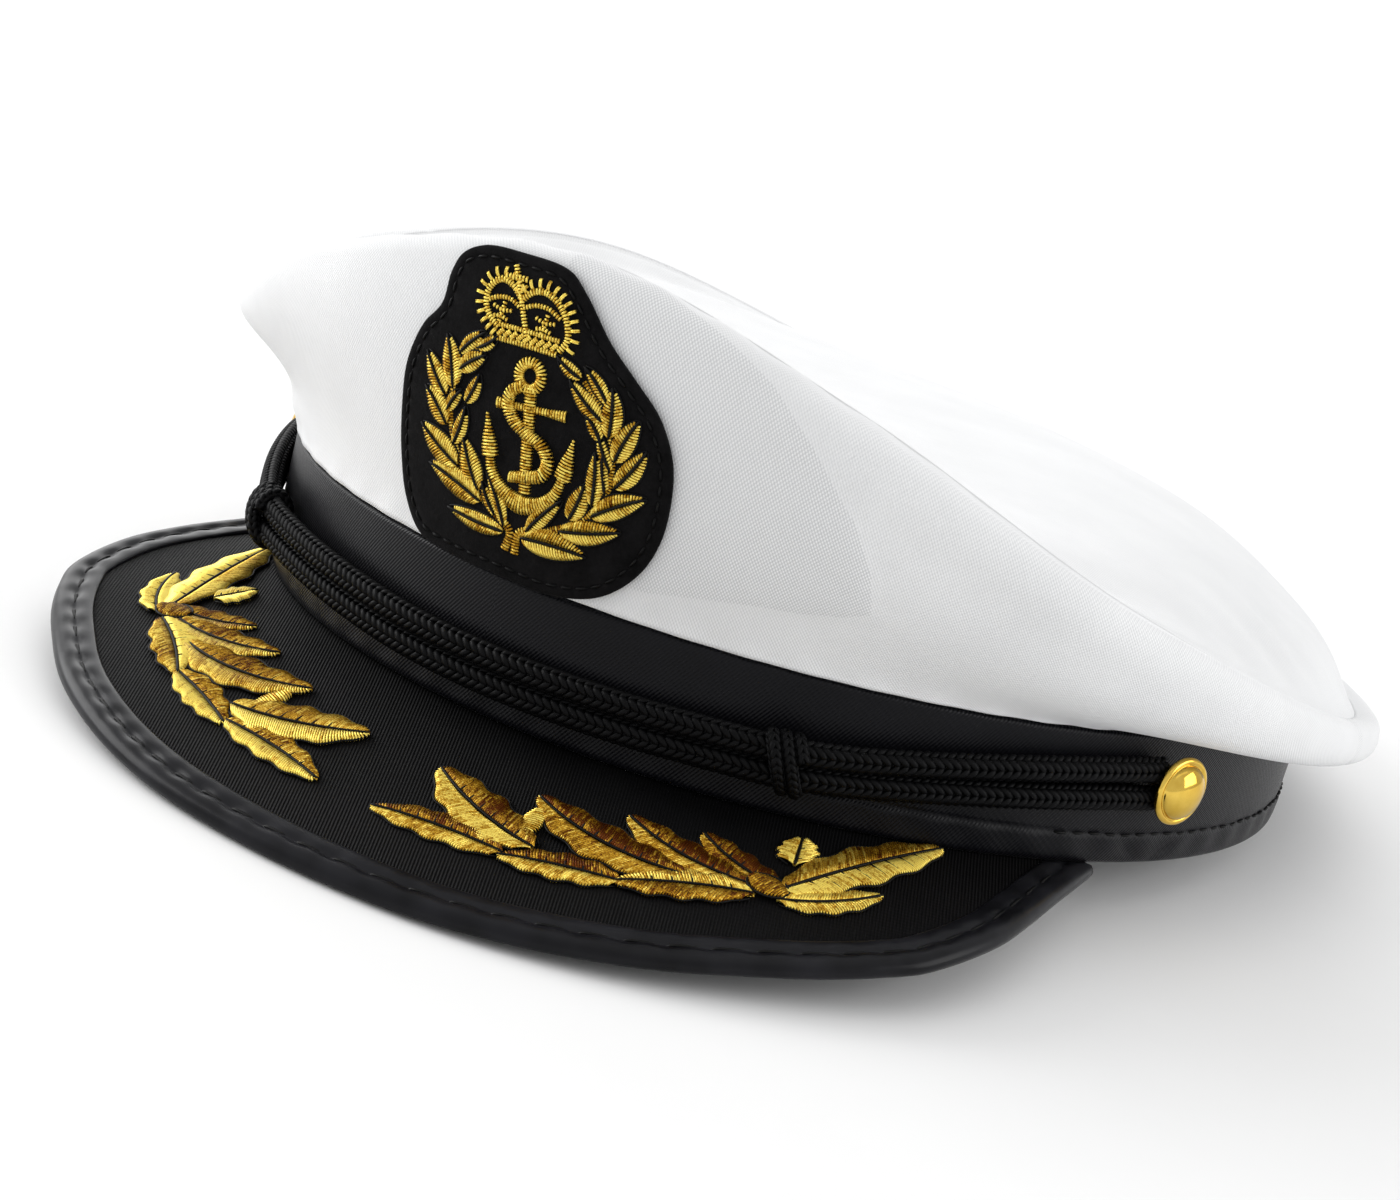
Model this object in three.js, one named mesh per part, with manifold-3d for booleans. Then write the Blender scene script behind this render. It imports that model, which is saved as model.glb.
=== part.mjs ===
import * as THREE from "three";
import { mergeVertices } from "three/addons/utils/BufferGeometryUtils.js";
import Module from "manifold-3d";

const wasm = await Module();
wasm.setup();

// Peaked captain hat, millimetres, +Z up, peak towards -Y, wearer's left at +X.
// It is shaped with the band's lower edge level, then tilted as it rests on its peak and rear rim.

// Driving sizes
const GAP = 0.3;
const BAND = { halfWidth: 88.1, halfLength: 96.9, height: 21.9, wall: 2.0, flare: 0.7 };
const CROWN = {
  rise: 50.5,
  overhang: 24,
  wall: 1.6,
  crestIn: 4,
  crestDrop: 1,
  topHeight: 24,
  topBack: 0.04,
  dome: 1,
  valley: 2.5,
};
const PEAK = {
  reach: 45.8,
  slopeMiddle: 21.2,
  slopeEnd: 0.5,
  endAngle: 67.25,
  sideTurn: 0.495,
  thickness: 1.4,
  tuck: 1.5,
};
const BINDING = { width: 6.8, skin: 0.5, edge: 1.1, corner: 0.15 };
const BADGE = { halfWidth: 24.4, height: 47.5, foot: 22.2, cloth: 1.1, lift: 0.45 };
const THREAD = { relief: 0.9, stem: 1.0, lift: 0.35, facet: 3 };
const CORD = { diameter: 3.4, sides: 8, steps: 40 };
const KNOT = { length: 6.8, wraps: 2, wrap: 0.9, dip: 0.3, corners: 16 };
const BUTTON = {
  diameter: 11.2,
  dome: 3.2,
  rim: 0.9,
  corner: 0.4,
  lip: 0.5,
  lipRise: 0.3,
  shank: 3,
  angle: 71.6,
  up: 14.5,
  sides: 16,
};

// Facets
const AROUND = 60;
const SIDE_STEPS = 9;
const TOP_RINGS = [1, 0.93, 0.84, 0.68, 0.46, 0.22];
const PEAK_RINGS = [0, 0.08, 0.35, 0.68, 1];
const PATCH_RINGS = [1, 0.7, 0.35];
const RING_SIDES = 14;
const SPOT_SIDES = 10;

// Crown sections every 30 degrees, from the front towards the wearer's left.
// Heights are shares of the rise above the band, outs are shares of the overhang.
const SECTIONS = [
  // crestUp, crestOut, hipOut, hipUp, footUp, footOut
  [1.0, 0.21, 0.29, 0.6, 0.2, 0],
  [0.8, 0.17, 0.33, 0.4, 0.16, 0],
  [0.42, 0.38, 0.53, 0.06, 0.03, 0.06],
  [0.13, 0.42, 0.71, -0.13, -0.11, 0.08],
  [-0.04, 0.56, 0.75, -0.27, -0.12, 0.08],
  [-0.05, 0.76, 0.79, -0.32, -0.12, 0.08],
  [0.12, 0.82, 0.79, -0.06, 0, 0.06],
  [0.34, 1.0, 0.79, 0.08, 0.08, 0],
  [0.58, 1.0, 0.79, 0.19, 0.16, 0],
  [0.5, 0.86, 0.75, 0.25, 0.2, 0],
  [0.33, 0.69, 0.76, 0.19, 0.2, 0],
  [0.75, 0.46, 0.5, 0.44, 0.2, 0],
].map(([crestUp, crestOut, hipOut, hipUp, footUp, footOut]) => (
  { crestUp, crestOut, hipOut, hipUp, footUp, footOut }));

// Outer edge of the peak: angle from the front, share of the reach
const PEAK_EDGE = [
  [0, 1.0], [6, 1.0], [12, 1.0], [18, 0.99], [24, 0.97], [30, 0.94], [36, 0.89], [41, 0.85],
  [45, 0.805], [48, 0.76], [50, 0.7], [52, 0.63], [54, 0.55], [57, 0.4], [60, 0.26], [64, 0.11],
];

// Badge outline and embroidery: across as a share of the half width, up as a share of the height
const PATCH_OUTLINE = [
  [-0.57, 0.975], [-0.27, 0.995], [0.06, 0.99], [0.2, 0.94], [0.44, 0.82], [0.64, 0.74], [0.84, 0.65],
  [0.97, 0.53], [1.01, 0.37], [0.98, 0.26], [0.88, 0.15], [0.68, 0.05], [0.4, 0.01], [0, 0.01],
  [-0.4, 0.01], [-0.66, 0.03], [-0.84, 0.11], [-0.93, 0.24], [-0.97, 0.4], [-0.97, 0.54], [-0.88, 0.68],
  [-0.77, 0.76], [-0.75, 0.87], [-0.7, 0.93],
];
const LEFT_STEM = [
  [0.07, 0.09], [0.01, 0.165], [-0.22, 0.22], [-0.42, 0.3], [-0.52, 0.4], [-0.56, 0.49], [-0.53, 0.585],
  [-0.49, 0.64], [-0.43, 0.675],
];
const RIGHT_STEM = [
  [0.13, 0.155], [0.35, 0.21], [0.54, 0.285], [0.64, 0.39], [0.62, 0.485], [0.56, 0.565], [0.47, 0.63],
  [0.33, 0.69],
];
// Laurel leaves: base across, base up, tip across, tip up, width in mm
const LEFT_LEAVES = [
  [0.0, 0.16, -0.44, 0.15, 3.2], [-0.2, 0.21, -0.64, 0.26, 4.2], [-0.42, 0.3, -0.75, 0.38, 4.2],
  [-0.54, 0.41, -0.76, 0.5, 3.4], [-0.56, 0.49, -0.79, 0.61, 3.2], [-0.54, 0.53, -0.65, 0.68, 3.2],
  [-0.5, 0.63, -0.4, 0.71, 2.4], [-0.52, 0.59, -0.34, 0.66, 2.8], [-0.54, 0.5, -0.36, 0.6, 2.3],
  [-0.5, 0.37, -0.42, 0.48, 2.6], [-0.26, 0.24, -0.41, 0.38, 3.4], [-0.02, 0.17, -0.19, 0.27, 2.2],
];
const RIGHT_LEAVES = [
  [0.15, 0.16, 0.57, 0.15, 4.2], [0.35, 0.21, 0.76, 0.28, 3.8], [0.54, 0.29, 0.87, 0.41, 3.6],
  [0.63, 0.39, 0.82, 0.55, 3.2], [0.62, 0.48, 0.73, 0.63, 3.2], [0.56, 0.55, 0.53, 0.7, 3.0],
  [0.5, 0.6, 0.27, 0.68, 2.6], [0.6, 0.42, 0.51, 0.56, 2.4], [0.56, 0.32, 0.51, 0.49, 2.8],
  [0.41, 0.23, 0.5, 0.34, 2.6], [0.16, 0.17, 0.32, 0.26, 2.2],
];
// Strokes of the emblems: points across and up, width in mm
const CROWN_STROKES = [
  { path: [[-0.28, 0.73], [-0.09, 0.735], [0.11, 0.74]], width: 2.0 },
  { path: [[-0.29, 0.74], [-0.38, 0.77], [-0.43, 0.81], [-0.43, 0.855], [-0.36, 0.9], [-0.25, 0.885],
    [-0.19, 0.86]], width: 1.7 },
  { path: [[-0.19, 0.86], [-0.12, 0.895], [-0.04, 0.905], [0.06, 0.88], [0.13, 0.845], [0.16, 0.79],
    [0.12, 0.745]], width: 1.7 },
  { path: [[-0.27, 0.945], [-0.2, 0.87], [-0.1, 0.74]], width: 1.3 },
  { path: [[-0.31, 0.915], [-0.25, 0.918], [-0.19, 0.92]], width: 1.2 },
  { path: [[-0.41, 0.83], [-0.31, 0.845], [-0.19, 0.85]], width: 0.9 },
  { path: [[-0.17, 0.85], [-0.04, 0.86], [0.1, 0.84]], width: 0.9 },
];
const ANCHOR_STROKES = [
  { path: [[-0.02, 0.6], [0.02, 0.5], [0.06, 0.4], [0.09, 0.27]], width: 2.2 },
  { path: [[-0.2, 0.535], [0.03, 0.55], [0.26, 0.565]], width: 1.5 },
  { path: [[-0.08, 0.6], [-0.12, 0.55], [-0.05, 0.5], [0.05, 0.47], [0.16, 0.46], [0.22, 0.425],
    [0.18, 0.375], [0.09, 0.35], [0, 0.325]], width: 1.8 },
  { path: [[-0.17, 0.36], [-0.1, 0.31], [0, 0.265], [0.12, 0.25], [0.2, 0.28], [0.28, 0.35]], width: 2.2 },
];
const ANCHOR_RING = { across: -0.02, up: 0.645, radius: 1.9, width: 1.6 };
// Flukes: base across, base up, tip across, tip up, width in mm
const ANCHOR_FLUKES = [[-0.15, 0.335, -0.25, 0.47, 3.2], [0.27, 0.35, 0.33, 0.485, 3.0]];

// Spray on the peak: angles from the front, reaches as shares of the peak's reach
const SPRAY_STEM = [
  [14.5, 0.605], [19, 0.575], [24, 0.55], [29, 0.515], [34, 0.475], [37.5, 0.38], [41, 0.275], [45, 0.175],
];
// Spray leaves: base angle, base reach, tip angle, tip reach, width in mm
const SPRAY_LEAVES = [
  [15.5, 0.6, 3, 0.61, 5.4], [18, 0.58, 4.8, 0.34, 6.6], [25.5, 0.535, 13.8, 0.3, 7.2],
  [24.5, 0.545, 15, 0.64, 5.4], [33.2, 0.47, 21.7, 0.27, 6.8], [34.2, 0.5, 24, 0.585, 6.8],
  [36.4, 0.42, 28.4, 0.26, 6.2], [38, 0.36, 36.6, 0.15, 5.0], [36, 0.43, 49, 0.05, 9.6],
  [34.5, 0.5, 43.6, 0.42, 5.0], [17.5, 0.585, 14, 0.38, 4.4],
];
const SPRAY_NODE = { angle: 34.8, reach: 0.465, radius: 2.9 };
const DEGREE_LENGTH = 2.0;

// Route of each cord strand: angle from the front, height above the band's lower edge, way out
const CORD_UPPER = [
  [70.3, 17.0, 2.2], [66, 16.8, 2.2], [56, 15.6, 2.2], [46, 13.6, 2.2], [38, 12.0, 3.1], [32, 11.2, 3.9],
  [26, 10.8, 3.1], [16, 10.2, 2.2], [4, 9.9, 2.2], [-8, 10.1, 2.2], [-20, 10.8, 2.2], [-32, 11.6, 3.1],
  [-38, 12.2, 3.9], [-44, 12.9, 3.1], [-54, 14.9, 2.2], [-64, 16.5, 2.2], [-70.3, 17.0, 2.2],
];
const CORD_LOWER = [
  [70.3, 12.2, 2.2], [66, 12.1, 2.2], [56, 11.1, 2.2], [46, 9.5, 2.2], [38, 8.1, 3.1], [32, 7.4, 3.9],
  [26, 7.0, 3.1], [16, 6.3, 2.2], [4, 6.0, 2.2], [-8, 6.2, 2.2], [-20, 6.9, 2.2], [-32, 7.8, 3.1],
  [-38, 8.4, 3.9], [-44, 9.0, 3.1], [-54, 10.7, 2.2], [-64, 11.9, 2.2], [-70.3, 12.2, 2.2],
];
const KNOTS = [{ name: "cord_knot_left", angle: 32 }, { name: "cord_knot_right", angle: -38 }];

// Half outline of a leaf: share of its length, share of its width
const LEAF_HALF = [[0.3, 0.45], [0.72, 0.4]];

const RADIANS = Math.PI / 180;
const FULL_TURN = 2 * Math.PI;

// A point of the head oval: angle in degrees, way out from the band's face, height
function ovalPoint(angle, out, up) {
  const turn = angle * RADIANS;
  const x = (BAND.halfWidth + out) * Math.sin(turn);
  const y = -(BAND.halfLength + out) * Math.cos(turn);
  return new THREE.Vector3(x, y, up);
}

function outward(angle) {
  const turn = angle * RADIANS;
  const way = new THREE.Vector3(Math.sin(turn) / BAND.halfWidth, -Math.cos(turn) / BAND.halfLength, 0);
  return way.normalize();
}

function bandFlare(up) {
  return BAND.flare * up / BAND.height;
}

// A smooth value between four neighbours
function smooth(before, from, to, after, share) {
  const a = 2 * from;
  const b = to - before;
  const c = 2 * before - 5 * from + 4 * to - after;
  const d = -before + 3 * from - 3 * to + after;
  return 0.5 * (a + b * share + c * share ** 2 + d * share ** 3);
}

function sectionValue(name, angle) {
  const count = SECTIONS.length;
  const place = (((angle % 360) + 360) % 360) / (360 / count);
  const index = Math.floor(place);
  const at = (step) => SECTIONS[(index + step + count) % count][name];
  return smooth(at(-1), at(0), at(1), at(2), place - index);
}

function straight(table, value) {
  const last = table.length - 1;
  let index = 0;
  while (index < last - 1 && table[index + 1][0] < value) index += 1;
  const [from, to] = [table[index], table[index + 1]];
  const share = (value - from[0]) / (to[0] - from[0]);
  return from[1] + (to[1] - from[1]) * share;
}

// Closed shell between an outer and an inner grid of points; rows run around, columns along
function shellGeometry(outer, inner, closedAround) {
  const rows = outer.length;
  const columns = outer[0].length;
  const points = [...outer.flat(), ...inner.flat()];
  const shift = rows * columns;
  const faces = [];
  const quad = (a, b, c, d) => faces.push([a, b, c], [a, c, d]);
  const at = (row, column) => (row % rows) * columns + column;
  const rowCount = closedAround ? rows : rows - 1;
  for (let row = 0; row < rowCount; row += 1) {
    for (let column = 0; column < columns - 1; column += 1) {
      const [a, b] = [at(row, column), at(row + 1, column)];
      const [c, d] = [at(row + 1, column + 1), at(row, column + 1)];
      quad(a, b, c, d);
      quad(shift + a, shift + d, shift + c, shift + b);
    }
    const last = columns - 1;
    quad(at(row, 0), shift + at(row, 0), shift + at(row + 1, 0), at(row + 1, 0));
    quad(at(row, last), at(row + 1, last), shift + at(row + 1, last), shift + at(row, last));
  }
  if (!closedAround) {
    for (let column = 0; column < columns - 1; column += 1) {
      const [a, b] = [at(0, column), at(0, column + 1)];
      const [c, d] = [at(rows - 1, column), at(rows - 1, column + 1)];
      quad(a, b, shift + b, shift + a);
      quad(c, shift + c, shift + d, d);
    }
  }
  return facesGeometry(points, faces);
}

// Closed loops of equal length, swept one after another, with flat ends
function loopsGeometry(loops, closedAlong) {
  const size = loops[0].length;
  const points = loops.flat();
  const faces = [];
  const stretches = closedAlong ? loops.length : loops.length - 1;
  for (let row = 0; row < stretches; row += 1) {
    const next = (row + 1) % loops.length;
    for (let step = 0; step < size; step += 1) {
      const after = (step + 1) % size;
      const [a, b] = [row * size + step, row * size + after];
      const [c, d] = [next * size + after, next * size + step];
      faces.push([a, b, c], [a, c, d]);
    }
  }
  if (!closedAlong) {
    const outline = (row) => flatten(loops[row]);
    const lastRow = loops.length - 1;
    const shift = lastRow * size;
    for (const [a, b, c] of outline(0)) faces.push([c, b, a]);
    for (const [a, b, c] of outline(lastRow)) faces.push([shift + a, shift + b, shift + c]);
  }
  return facesGeometry(points, faces);
}

// Triangles over a flat loop of points, in the loop's own turning sense
function flatten(loop) {
  const centre = loop.reduce((sum, point) => sum.add(point), new THREE.Vector3()).divideScalar(loop.length);
  const normal = new THREE.Vector3();
  loop.forEach((point, index) => {
    const next = loop[(index + 1) % loop.length];
    normal.add(point.clone().sub(centre).cross(next.clone().sub(centre)));
  });
  normal.normalize();
  const across = loop[0].clone().sub(centre).normalize();
  const along = normal.clone().cross(across);
  const flat = loop.map((point) => {
    const offset = point.clone().sub(centre);
    return new THREE.Vector2(offset.dot(across), offset.dot(along));
  });
  return THREE.ShapeUtils.triangulateShape(flat, []);
}

function facesGeometry(points, faces) {
  const geometry = new THREE.BufferGeometry();
  geometry.setAttribute("position", new THREE.Float32BufferAttribute(
    points.flatMap((point) => [point.x, point.y, point.z]), 3));
  geometry.setIndex(faces.flat());
  return facingOut(geometry);
}

// Turns every face over when the closed body's volume comes out negative
function facingOut(geometry) {
  const position = geometry.attributes.position;
  const index = Array.from(geometry.index.array);
  const corner = (number) => new THREE.Vector3().fromBufferAttribute(position, number);
  let volume = 0;
  for (let start = 0; start < index.length; start += 3) {
    const [a, b, c] = [corner(index[start]), corner(index[start + 1]), corner(index[start + 2])];
    volume += a.dot(b.cross(c));
  }
  if (volume < 0) {
    for (let start = 0; start < index.length; start += 3) {
      [index[start + 1], index[start + 2]] = [index[start + 2], index[start + 1]];
    }
    geometry.setIndex(index);
  }
  return geometry;
}

function solidOf(geometry) {
  const plain = geometry.clone();
  for (const name of Object.keys(plain.attributes)) {
    if (name !== "position") plain.deleteAttribute(name);
  }
  const merged = mergeVertices(plain, 1e-4);
  const mesh = new wasm.Mesh({
    numProp: 3,
    vertProperties: new Float32Array(merged.attributes.position.array),
    triVerts: new Uint32Array(merged.index.array),
  });
  return new wasm.Manifold(mesh);
}

function joined(geometries) {
  const solids = geometries.map(solidOf);
  const whole = solids.slice(1).reduce((sum, solid) => sum.add(solid), solids[0]);
  const mesh = whole.getMesh();
  const geometry = new THREE.BufferGeometry();
  geometry.setAttribute("position", new THREE.Float32BufferAttribute(Array.from(mesh.vertProperties), 3));
  geometry.setIndex(Array.from(mesh.triVerts));
  return geometry;
}

// Crown side, from the seam above the band to the seam behind the crest
function sidePoint(angle, share) {
  const spot = (out, up, from) => new THREE.Vector2(
    from.x + sectionValue(out, angle) * CROWN.overhang, from.y + sectionValue(up, angle) * CROWN.rise);
  const face = new THREE.Vector2(0, BAND.height);
  const foot = new THREE.Vector2(BAND.flare, BAND.height + GAP);
  const low = spot("footOut", "footUp", foot);
  const hip = spot("hipOut", "hipUp", face);
  const crest = spot("crestOut", "crestUp", face);
  const wall = new THREE.CubicBezierCurve(foot, low, hip, crest);
  const turnStart = 0.93;
  const wallShare = 0.78;
  if (share <= wallShare) return wall.getPoint(share / wallShare * turnStart);
  const seam = new THREE.Vector2(crest.x - CROWN.crestIn, crest.y - CROWN.crestDrop);
  const fold = new THREE.QuadraticBezierCurve(wall.getPoint(turnStart), crest, seam);
  return fold.getPoint((share - wallShare) / (1 - wallShare));
}

function sideTangent(angle, share) {
  const step = 0.02;
  const ahead = sidePoint(angle, Math.min(share + step, 1));
  const behind = sidePoint(angle, Math.max(share - step, 0));
  return ahead.sub(behind).normalize();
}

function sideInnerPoint(angle, share) {
  const point = sidePoint(angle, share);
  const tangent = sideTangent(angle, share);
  return new THREE.Vector2(point.x - tangent.y * CROWN.wall, point.y + tangent.x * CROWN.wall);
}

function turnAngles(count) {
  return Array.from({ length: count }, (_, index) => index * 360 / count);
}

function crownSide() {
  const shares = Array.from({ length: SIDE_STEPS + 1 }, (_, index) => index / SIDE_STEPS);
  const grid = (point) => turnAngles(AROUND).map((angle) => shares.map((share) => {
    const place = point(angle, share);
    return ovalPoint(angle, place.x, place.y);
  }));
  return shellGeometry(grid(sidePoint), grid(sideInnerPoint), true);
}

// Top panel, domed, with a soft valley just behind the crest
function topHeight(edgeHeight, share) {
  const centre = BAND.height + CROWN.topHeight;
  const steepness = 4.4;
  const valleyPlace = 0.9;
  const valleyWidth = 0.07;
  const standing = Math.max(edgeHeight - BAND.height, 0) / CROWN.rise;
  const valley = CROWN.valley * standing * Math.exp(-(((share - valleyPlace) / valleyWidth) ** 2));
  const rim = centre + (edgeHeight - centre) * share ** steepness + CROWN.dome * (1 - share ** 2);
  return share < 1 ? rim - valley : edgeHeight;
}

function crownTop() {
  const centre = new THREE.Vector3(0, CROWN.topBack * BAND.halfLength, 0);
  const outer = [];
  const inner = [];
  for (const angle of turnAngles(AROUND)) {
    const seam = sidePoint(angle, 1);
    const tangent = sideTangent(angle, 1);
    const edge = ovalPoint(angle, seam.x + tangent.x * GAP, seam.y + tangent.y * GAP);
    const under = sideInnerPoint(angle, 1);
    const underEdge = ovalPoint(angle, under.x + tangent.x * GAP, under.y + tangent.y * GAP);
    const row = TOP_RINGS.map((share) => {
      const point = centre.clone().lerp(edge, share);
      point.z = topHeight(edge.z, share);
      return point;
    });
    outer.push(row);
    inner.push(row.map((point, ring) => (
      ring === 0 ? underEdge : new THREE.Vector3(point.x, point.y, point.z - CROWN.wall))));
  }
  const middle = new THREE.Vector3(centre.x, centre.y, topHeight(0, 0));
  const underMiddle = middle.clone().setZ(middle.z - CROWN.wall);
  return discGeometry(outer, inner, middle, underMiddle);
}

// Closed disc: rings shrink to one middle point on each face
function discGeometry(outer, inner, middle, underMiddle) {
  const rows = outer.length;
  const columns = outer[0].length;
  const points = [...outer.flat(), ...inner.flat(), middle, underMiddle];
  const shift = rows * columns;
  const faces = [];
  for (let row = 0; row < rows; row += 1) {
    const next = (row + 1) % rows;
    for (let column = 0; column < columns - 1; column += 1) {
      const [a, b] = [row * columns + column, next * columns + column];
      faces.push([a, b, b + 1], [a, b + 1, a + 1]);
      faces.push([shift + a, shift + b + 1, shift + b], [shift + a, shift + a + 1, shift + b + 1]);
    }
    const [a, b] = [row * columns, next * columns];
    faces.push([a, shift + a, shift + b], [a, shift + b, b]);
    const [c, d] = [a + columns - 1, b + columns - 1];
    faces.push([c, d, 2 * shift], [shift + c, 2 * shift + 1, shift + d]);
  }
  return facesGeometry(points, faces);
}

function band() {
  const levels = [0, 1];
  const grid = (inset) => turnAngles(AROUND).map((angle) => levels.map((level) => {
    const up = level * BAND.height;
    return ovalPoint(angle, bandFlare(up) - inset, up);
  }));
  return shellGeometry(grid(0), grid(BAND.wall), true);
}

// Peak: a sloped tongue, widest at the front, running out along the band
function peakPoint(angle, reach) {
  const share = Math.min(Math.abs(angle) / PEAK.endAngle, 1);
  const slope = (PEAK.slopeMiddle + (PEAK.slopeEnd - PEAK.slopeMiddle) * share ** 2) * RADIANS;
  const normal = outward(angle);
  const way = new THREE.Vector3(normal.x * PEAK.sideTurn, normal.y, 0).normalize();
  const run = Math.max(reach, 0) * Math.cos(slope) + Math.min(reach, 0);
  const point = ovalPoint(angle, 0, -GAP).addScaledVector(way, run);
  point.z -= Math.max(reach, 0) * Math.sin(slope);
  return point;
}

function peakReach(angle) {
  return straight(PEAK_EDGE, Math.abs(angle)) * PEAK.reach;
}

function peakAngles() {
  const right = PEAK_EDGE.map(([angle]) => angle);
  return [...right.slice(1).reverse().map((angle) => -angle), ...right];
}

function bindingWidth(angle) {
  return Math.min(BINDING.width, peakReach(angle) - 2 * GAP);
}

function peak() {
  const clear = BINDING.edge + GAP;
  const grid = (drop) => peakAngles().map((angle) => PEAK_RINGS.map((share) => {
    const last = peakReach(angle) - clear;
    const point = peakPoint(angle, -PEAK.tuck + share * (last + PEAK.tuck));
    point.z -= drop;
    return point;
  }));
  return shellGeometry(grid(0), grid(PEAK.thickness), false);
}

function peakBinding() {
  const half = PEAK.thickness / 2;
  const face = half + GAP + BINDING.skin;
  const slot = half + GAP;
  const loops = peakAngles().map((angle) => {
    const reach = peakReach(angle);
    const width = bindingWidth(angle);
    const lip = Math.min(BINDING.edge, width / 2);
    const at = (inset, height) => {
      const point = peakPoint(angle, reach - inset);
      point.z += height - half;
      return point;
    };
    const shoulder = face - BINDING.corner;
    const [nose, cheek] = [lip / 4, face * 0.6];
    return [
      at(width, slot), at(width, shoulder), at(width / 2, face), at(lip, face), at(nose, cheek),
      at(0, 0), at(nose, -cheek), at(lip, -face), at(width / 2, -face), at(width, -shoulder),
      at(width, -slot), at(lip, -slot), at(lip, slot),
    ];
  });
  return loopsGeometry(loops, false);
}

// A place on the front of the crown side: across and height, raised off the cloth
function frontPlace(across, up, lift) {
  const rounds = 6;
  const halvings = 24;
  const belowFold = 0.8;
  let angle = 0;
  let out = 0;
  for (let round = 0; round < rounds; round += 1) {
    angle = Math.asin(across / (BAND.halfWidth + out)) / RADIANS;
    let [low, high] = [0, belowFold];
    for (let halving = 0; halving < halvings; halving += 1) {
      const middle = (low + high) / 2;
      if (sidePoint(angle, middle).y < up) low = middle;
      else high = middle;
    }
    out = sidePoint(angle, low).x;
  }
  return ovalPoint(angle, out, up).addScaledVector(outward(angle), lift);
}

function badgePlace(across, up, lift) {
  return frontPlace(across * BADGE.halfWidth, BADGE.foot + up * BADGE.height, lift);
}

// Pad over an outline that every ring of it shrinks evenly towards the middle
function padGeometry(outline, rings, place, low, high) {
  const mean = (column) => outline.reduce((sum, point) => sum + point[column], 0) / outline.length;
  const centre = [mean(0), mean(1)];
  const grid = (lift) => outline.map(([u, v]) => rings.map((share) => (
    place(centre[0] + (u - centre[0]) * share, centre[1] + (v - centre[1]) * share, lift))));
  return discGeometry(grid(high), grid(low), place(...centre, high), place(...centre, low));
}

// Surface of a badge or spray: where a pair of shares lies, and how long a share is each way
const BADGE_SURFACE = {
  place: badgePlace,
  across: BADGE.halfWidth,
  up: BADGE.height,
  base: BADGE.lift + BADGE.cloth + THREAD.lift,
};
function sprayPlace(side) {
  return (angle, share, lift) => {
    const point = peakPoint(side * angle, share * PEAK.reach);
    point.z += lift;
    return point;
  };
}
const spraySurface = (side) => (
  { place: sprayPlace(side), across: DEGREE_LENGTH, up: PEAK.reach, base: THREAD.lift });

// Raised leaf: a pointed oval from its base to its tip
function leafGeometry(surface, [baseU, baseV, tipU, tipV, width], height) {
  const along = new THREE.Vector2((tipU - baseU) * surface.across, (tipV - baseV) * surface.up);
  const length = along.length();
  const side = new THREE.Vector2(-along.y, along.x).divideScalar(length);
  const mirrored = LEAF_HALF.toReversed().map(([share, half]) => [share, -half]);
  const outline = [[0, 0], ...LEAF_HALF, [1, 0], ...mirrored].map(([share, half]) => {
    const u = baseU + (along.x * share + side.x * half * width) / surface.across;
    const v = baseV + (along.y * share + side.y * half * width) / surface.up;
    return [u, v];
  });
  return padGeometry(outline, [1], surface.place, surface.base, surface.base + height);
}

// Raised ribbon of even width along a path
function strokeGeometry(surface, { path, width }, height) {
  const flat = path.map(([u, v]) => new THREE.Vector3(u * surface.across, v * surface.up, 0));
  const curve = new THREE.CatmullRomCurve3(flat);
  const steps = Math.max(2, Math.round(curve.getLength() / THREAD.facet));
  const loops = Array.from({ length: steps + 1 }, (_, index) => {
    const point = curve.getPoint(index / steps);
    const way = curve.getTangent(index / steps);
    const corner = (offset, lift) => surface.place(
      (point.x - way.y * offset) / surface.across, (point.y + way.x * offset) / surface.up, surface.base + lift);
    const half = width / 2;
    return [corner(half, 0), corner(-half, 0), corner(-half, height), corner(half, height)];
  });
  return loopsGeometry(loops, false);
}

function ringGeometry(surface, ring, height) {
  const loops = Array.from({ length: RING_SIDES }, (_, index) => {
    const turn = index / RING_SIDES * FULL_TURN;
    const corner = (radius, lift) => surface.place(
      ring.across + radius * Math.cos(turn) / surface.across,
      ring.up + radius * Math.sin(turn) / surface.up, surface.base + lift);
    const [near, far] = [ring.radius - ring.width / 2, ring.radius + ring.width / 2];
    return [corner(near, 0), corner(far, 0), corner(far, height), corner(near, height)];
  });
  return loopsGeometry(loops, true);
}

function spotGeometry(surface, u, v, radius, height) {
  const outline = Array.from({ length: SPOT_SIDES }, (_, index) => {
    const turn = index / SPOT_SIDES * FULL_TURN;
    return [u + radius * Math.cos(turn) / surface.across, v + radius * Math.sin(turn) / surface.up];
  });
  return padGeometry(outline, [1], surface.place, surface.base, surface.base + height);
}

function badgePatch() {
  return padGeometry(PATCH_OUTLINE, PATCH_RINGS, badgePlace, BADGE.lift, BADGE.lift + BADGE.cloth);
}

// Leaves on a stem, each a little higher or lower than the next
function sprig(surface, stem, leaves) {
  const stemHeight = THREAD.relief * 0.8;
  const parts = [strokeGeometry(surface, { path: stem, width: THREAD.stem }, stemHeight)];
  leaves.forEach((leaf, index) => {
    parts.push(leafGeometry(surface, leaf, THREAD.relief * (1 + 0.05 * (index % 4))));
  });
  return parts;
}

function badgeCrown() {
  return joined(CROWN_STROKES.map((stroke, index) => (
    strokeGeometry(BADGE_SURFACE, stroke, THREAD.relief * (1 + 0.04 * index)))));
}

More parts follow.
